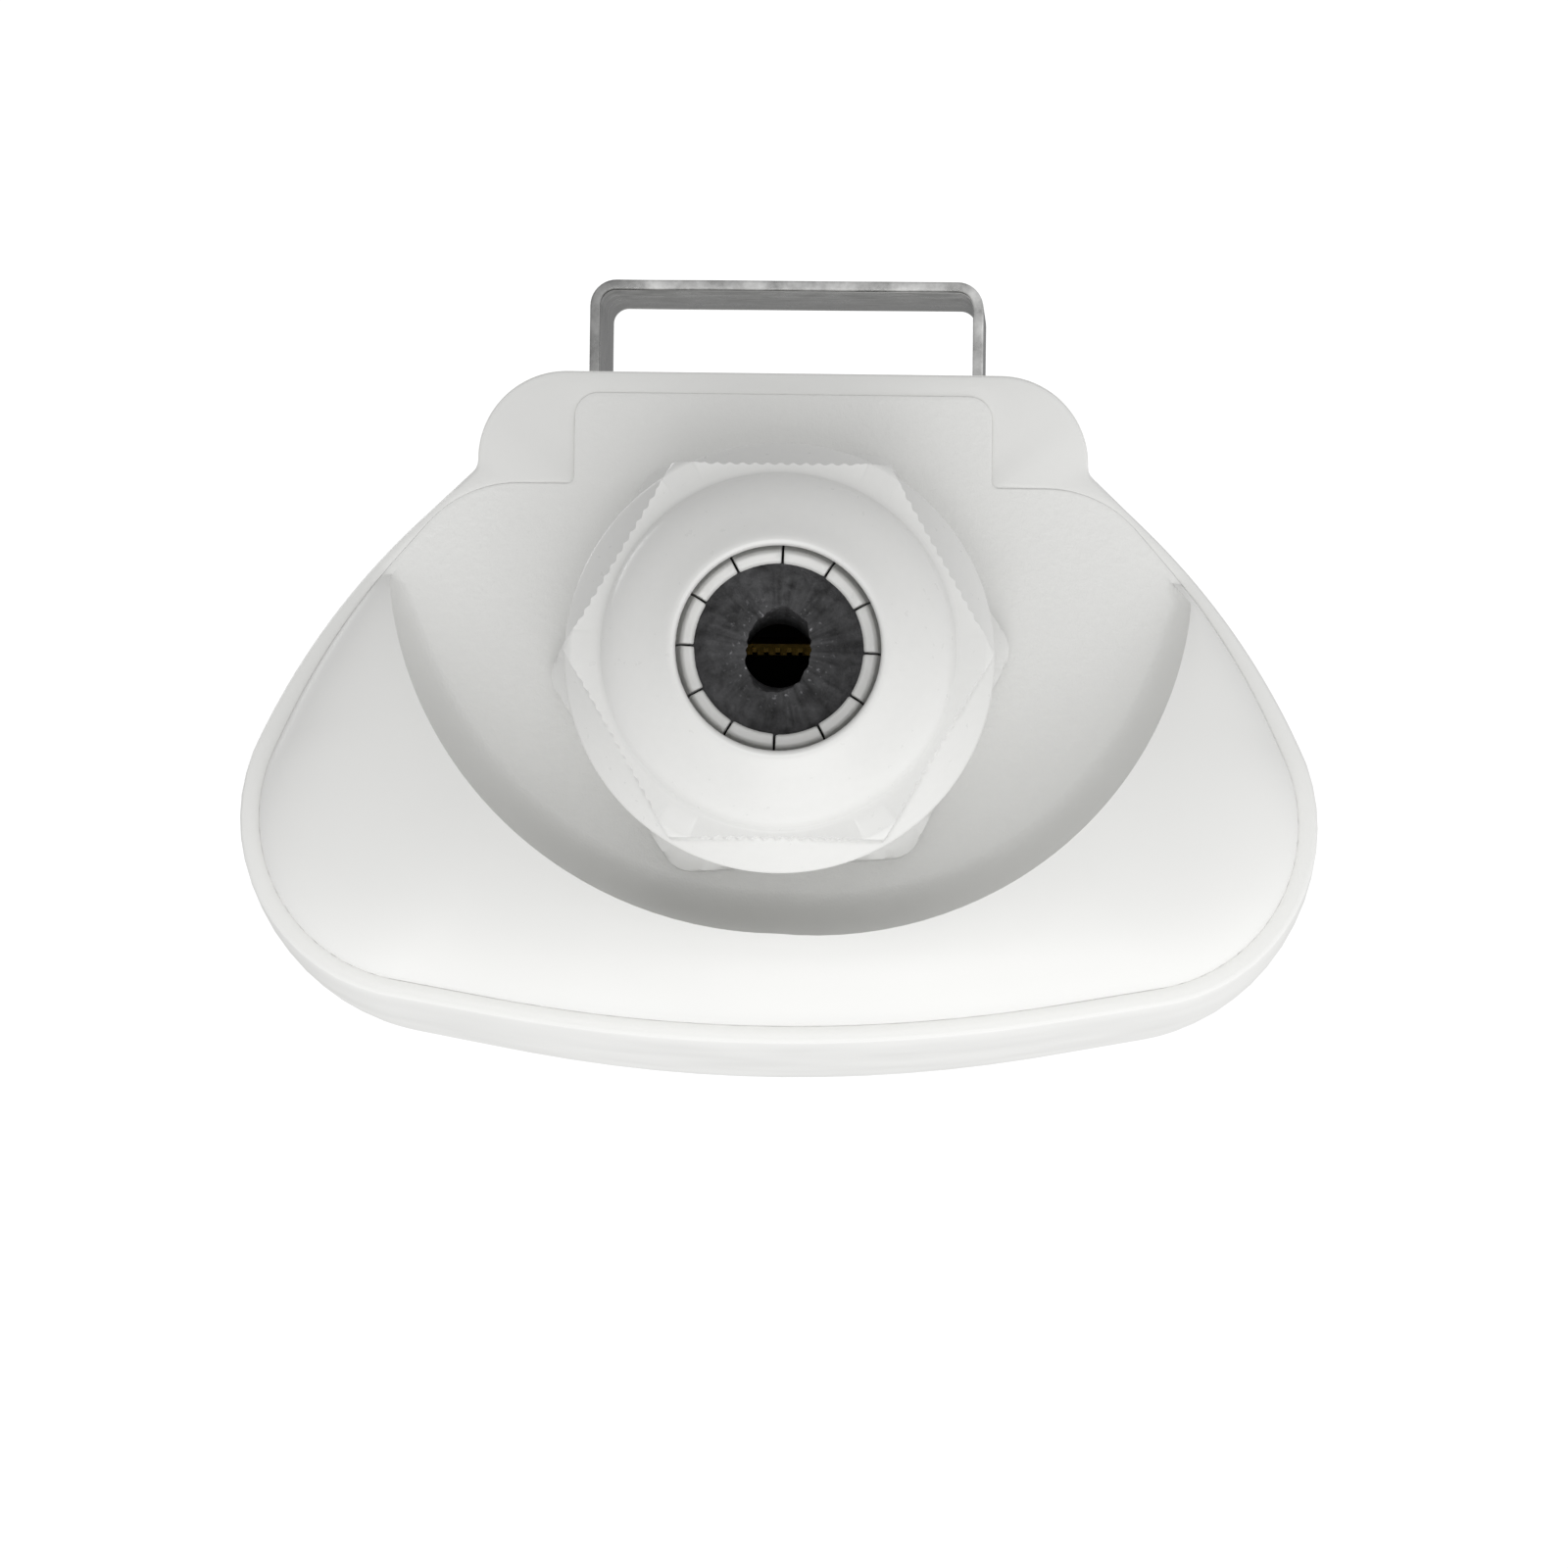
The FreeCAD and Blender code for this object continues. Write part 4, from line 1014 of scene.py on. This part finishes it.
class UNIT_OT_nut(Operator):
    """Build the domed gland nut with its flange and ribbed flats, and the slip ring."""
    bl_idname = "unit.nut"
    bl_label = "Gland nut"

    def execute(self, context):
        angles = self.angles()
        rings = []
        for r, h in ((15.4, 16.9), (15.4, 14.2), (15.6, 14.0), (17.2, 14.0), (17.5, 14.15),
                     (17.6, 14.4), (17.6, 14.7), (17.57, 14.95)):
            rings.append(self.round_ring(angles, r, h))
        for h, cone, ribs in self.side_levels():
            rings.append(self.side_ring(angles, h, cone, ribs))
        for r, h in self.dome():
            rings.append(self.round_ring(angles, r, h))
        dress(make_piece("gland_nut_moulding", rings, 42, True), "nut", "white_nylon",
              "gland_nut")
        self.slip_ring()
        return {"FINISHED"}

    def angles(self):
        """Angles of the mesh columns, fine enough for the ribs on every flat."""
        result = []
        for side in range(6):
            base = side * math.pi / 3
            for k in range(128):
                x = -8.66 + 17.32 * k / 128
                result.append(base + math.atan2(x, 15.0))
        return result

    def side_levels(self):
        """Levels of the hexagon with the limit of its front chamfer."""
        levels = [(h, 17.32, 0.0) for h in (15.15, 15.4, 15.8, 16.3, 16.8, 17.3, 17.8, 18.3)]
        levels += [(18.6, 17.32, 0.3), (18.9, 17.32, 1.0), (21.0, 17.32, 1.0)]
        levels += [(23.0, 17.32, 1.0), (25.0, 17.32, 1.0), (26.6, 17.32, 1.0)]
        levels += [(27.4, 17.32, 1.0), (27.75, 17.15, 1.0), (28.0, 16.95, 1.0)]
        levels += [(28.15, 16.8, 1.0), (28.25, 16.65, 0.9), (28.3, 16.5, 0.6), (28.3, 14.6, 0.0)]
        return levels

    def dome(self):
        """Profile of the dome with its aperture and the inner cone."""
        return [(14.35, 28.32), (14.22, 28.42), (14.12, 28.65), (14.0, 29.1), (13.78, 29.65),
                (13.4, 30.25), (12.9, 30.8), (12.3, 31.3), (11.7, 31.72), (11.1, 32.08),
                (10.5, 32.42), (9.9, 32.78), (9.4, 33.1), (8.95, 33.37), (8.6, 33.53),
                (8.38, 33.5), (8.22, 33.32), (8.16, 33.0), (8.16, 32.4), (8.16, 31.95),
                (8.8, 31.2), (10.2, 27.4), (11.6, 23.4), (13.5, 22.0), (13.6, 21.8),
                (13.6, 19.5), (13.6, 17.5), (13.7, 17.3), (15.2, 17.05)]

    def round_ring(self, angles, r, h):
        """Round ring."""
        return [Vector((r * math.sin(a), GLAND_Y - r * math.cos(a), RIM - h)) for a in angles]

    def side_ring(self, angles, h, cone, ribs):
        """Ring on the hexagon, with grooves between the ribs."""
        ring = []
        pitch = sizes().rib_pitch / MM
        depth = sizes().rib_depth / MM
        for i, a in enumerate(angles):
            x = -8.66 + 17.32 * (i % 128) / 128
            reach = min(15.0 / math.cos(math.atan2(x, 15.0)), 17.25)
            wave = 0.5 - 0.5 * math.cos(2 * math.pi * (x / pitch + 0.5))
            inside = max(0.0, min(1.0, (6.7 - abs(x)) / 0.5))
            reach -= depth * ribs * inside * (1 - wave) ** 0.8
            foot = 17.57 - (h - 14.95) * 0.72
            reach = max(min(reach, cone), foot if h < 18.8 else 0.0)
            ring.append(Vector((reach * math.sin(a), GLAND_Y - reach * math.cos(a), RIM - h)))
        return ring

    def slip_ring(self):
        """Nylon ring that the nut turns on."""
        profile = soften(((13.55, 14.4), (15.0, 14.4), (15.0, 16.6), (13.55, 16.6)), 0.25)
        dress(make_piece("nut_slip_ring", turned(profile, 120), 40, True), "ring",
              "white_nylon", "slip_ring")


# ------------------------------------------------------------------------- strap loop

class UNIT_OT_strap(Operator):
    """Build the bent stainless strap loop with the hole for the pivot bush."""
    bl_idname = "unit.strap"
    bl_label = "Strap loop"

    def execute(self, context):
        thick = sizes().strap_thickness / MM
        half, deep = 18.85, 15.65
        mid = grown([(-half, -deep, 2.5), (half, -deep, 2.5), (half, 0.0, 2.5),
                     (-half, 0.0, 2.5)], -thick / 2)
        path = rounded(mid, 10, 22)
        start = min(range(len(path)), key=lambda i: (path[i] - Vector((-13.6, -deep))).length)
        path = path[start:] + path[:start]
        path = [p for p in path if not (abs(p.x + 14.0) < 0.35 and p.y < -14.0)]
        section = soften(((-thick / 2, -10.0), (thick / 2, -10.0), (thick / 2, 10.0),
                          (-thick / 2, 10.0)), 0.22, 4)
        rings = []
        for i, p in enumerate(path):
            before = path[max(0, i - 1)]
            after = path[min(len(path) - 1, i + 1)]
            run = (after - before).normalized()
            out = Vector((run.y, -run.x))
            ring = []
            for offset, z in section:
                waver = 0.05 * noise.noise(Vector((p.x * 0.12, p.y * 0.12, z * 0.05)))
                q = p + out * (offset + waver * 0.5)
                ring.append(Vector((q.x, min(0.0, q.y), z)))
            rings.append(ring)
        piece = make_piece("strap_loop", rings, 40)
        # Hole for the pivot bush in the inner web.
        drill(piece, [[Vector((3.05 * math.cos(a), y, 3.05 * math.sin(a)))
                       for a in [2 * math.pi * k / 64 for k in range(64)]]
                      for y in (-17.0, -13.0)])
        piece.data.transform(Matrix.Rotation(math.radians(-2.1), 4, "Y"))
        dress(piece, "bracket", "strap_steel", "strap_bracket")
        return {"FINISHED"}


# -------------------------------------------------------------------- inside and small

class UNIT_OT_inside(Operator):
    """Give every carried-over part of the inside and the hardware its finish."""
    bl_idname = "unit.inside"
    bl_label = "Inside and hardware"

    def execute(self, context):
        finishes = {}
        for entry in frame["record"]["subparts"]:
            finishes[entry["node"]] = entry["material_slot"]
        for name, node in frame["nodes"].items():
            if node.hide_render:
                continue
            node.data.materials.clear()
            node.data.materials.append(finish_of(finishes[name]))
        return {"FINISHED"}


# -------------------------------------------------------------------------------- panel

class UNIT_PT_panel(Panel):
    """Lists the settings and the makers of the unit."""
    bl_label = "Wireless unit"
    bl_idname = "UNIT_PT_panel"
    bl_space_type = "VIEW_3D"
    bl_region_type = "UI"
    bl_category = "Wireless unit"

    def draw(self, context):
        layout = self.layout
        for group in (context.scene.unit_sizes, context.scene.unit_colours):
            for key in group.bl_rna.properties.keys():
                if key not in ("rna_type", "name"):
                    layout.prop(group, key)
        for operator in OPERATORS:
            layout.operator(operator.bl_idname)


OPERATORS = (UNIT_OT_stage, UNIT_OT_sleeve, UNIT_OT_cap, UNIT_OT_gland_body, UNIT_OT_claw,
             UNIT_OT_seal, UNIT_OT_nut, UNIT_OT_strap, UNIT_OT_inside)
CLASSES = (UnitSizes, UnitColours) + OPERATORS + (UNIT_PT_panel,)


def register():
    for item in CLASSES:
        bpy.utils.register_class(item)
    bpy.types.Scene.unit_sizes = PointerProperty(type=UnitSizes)
    bpy.types.Scene.unit_colours = PointerProperty(type=UnitColours)


def unregister():
    del bpy.types.Scene.unit_colours
    del bpy.types.Scene.unit_sizes
    for item in reversed(CLASSES):
        bpy.utils.unregister_class(item)


def main():
    """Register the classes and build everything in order."""
    register()
    for operator in OPERATORS:
        group, name = operator.bl_idname.split(".")
        getattr(getattr(bpy.ops, group), name)()


if __name__ == "__main__":
    main()
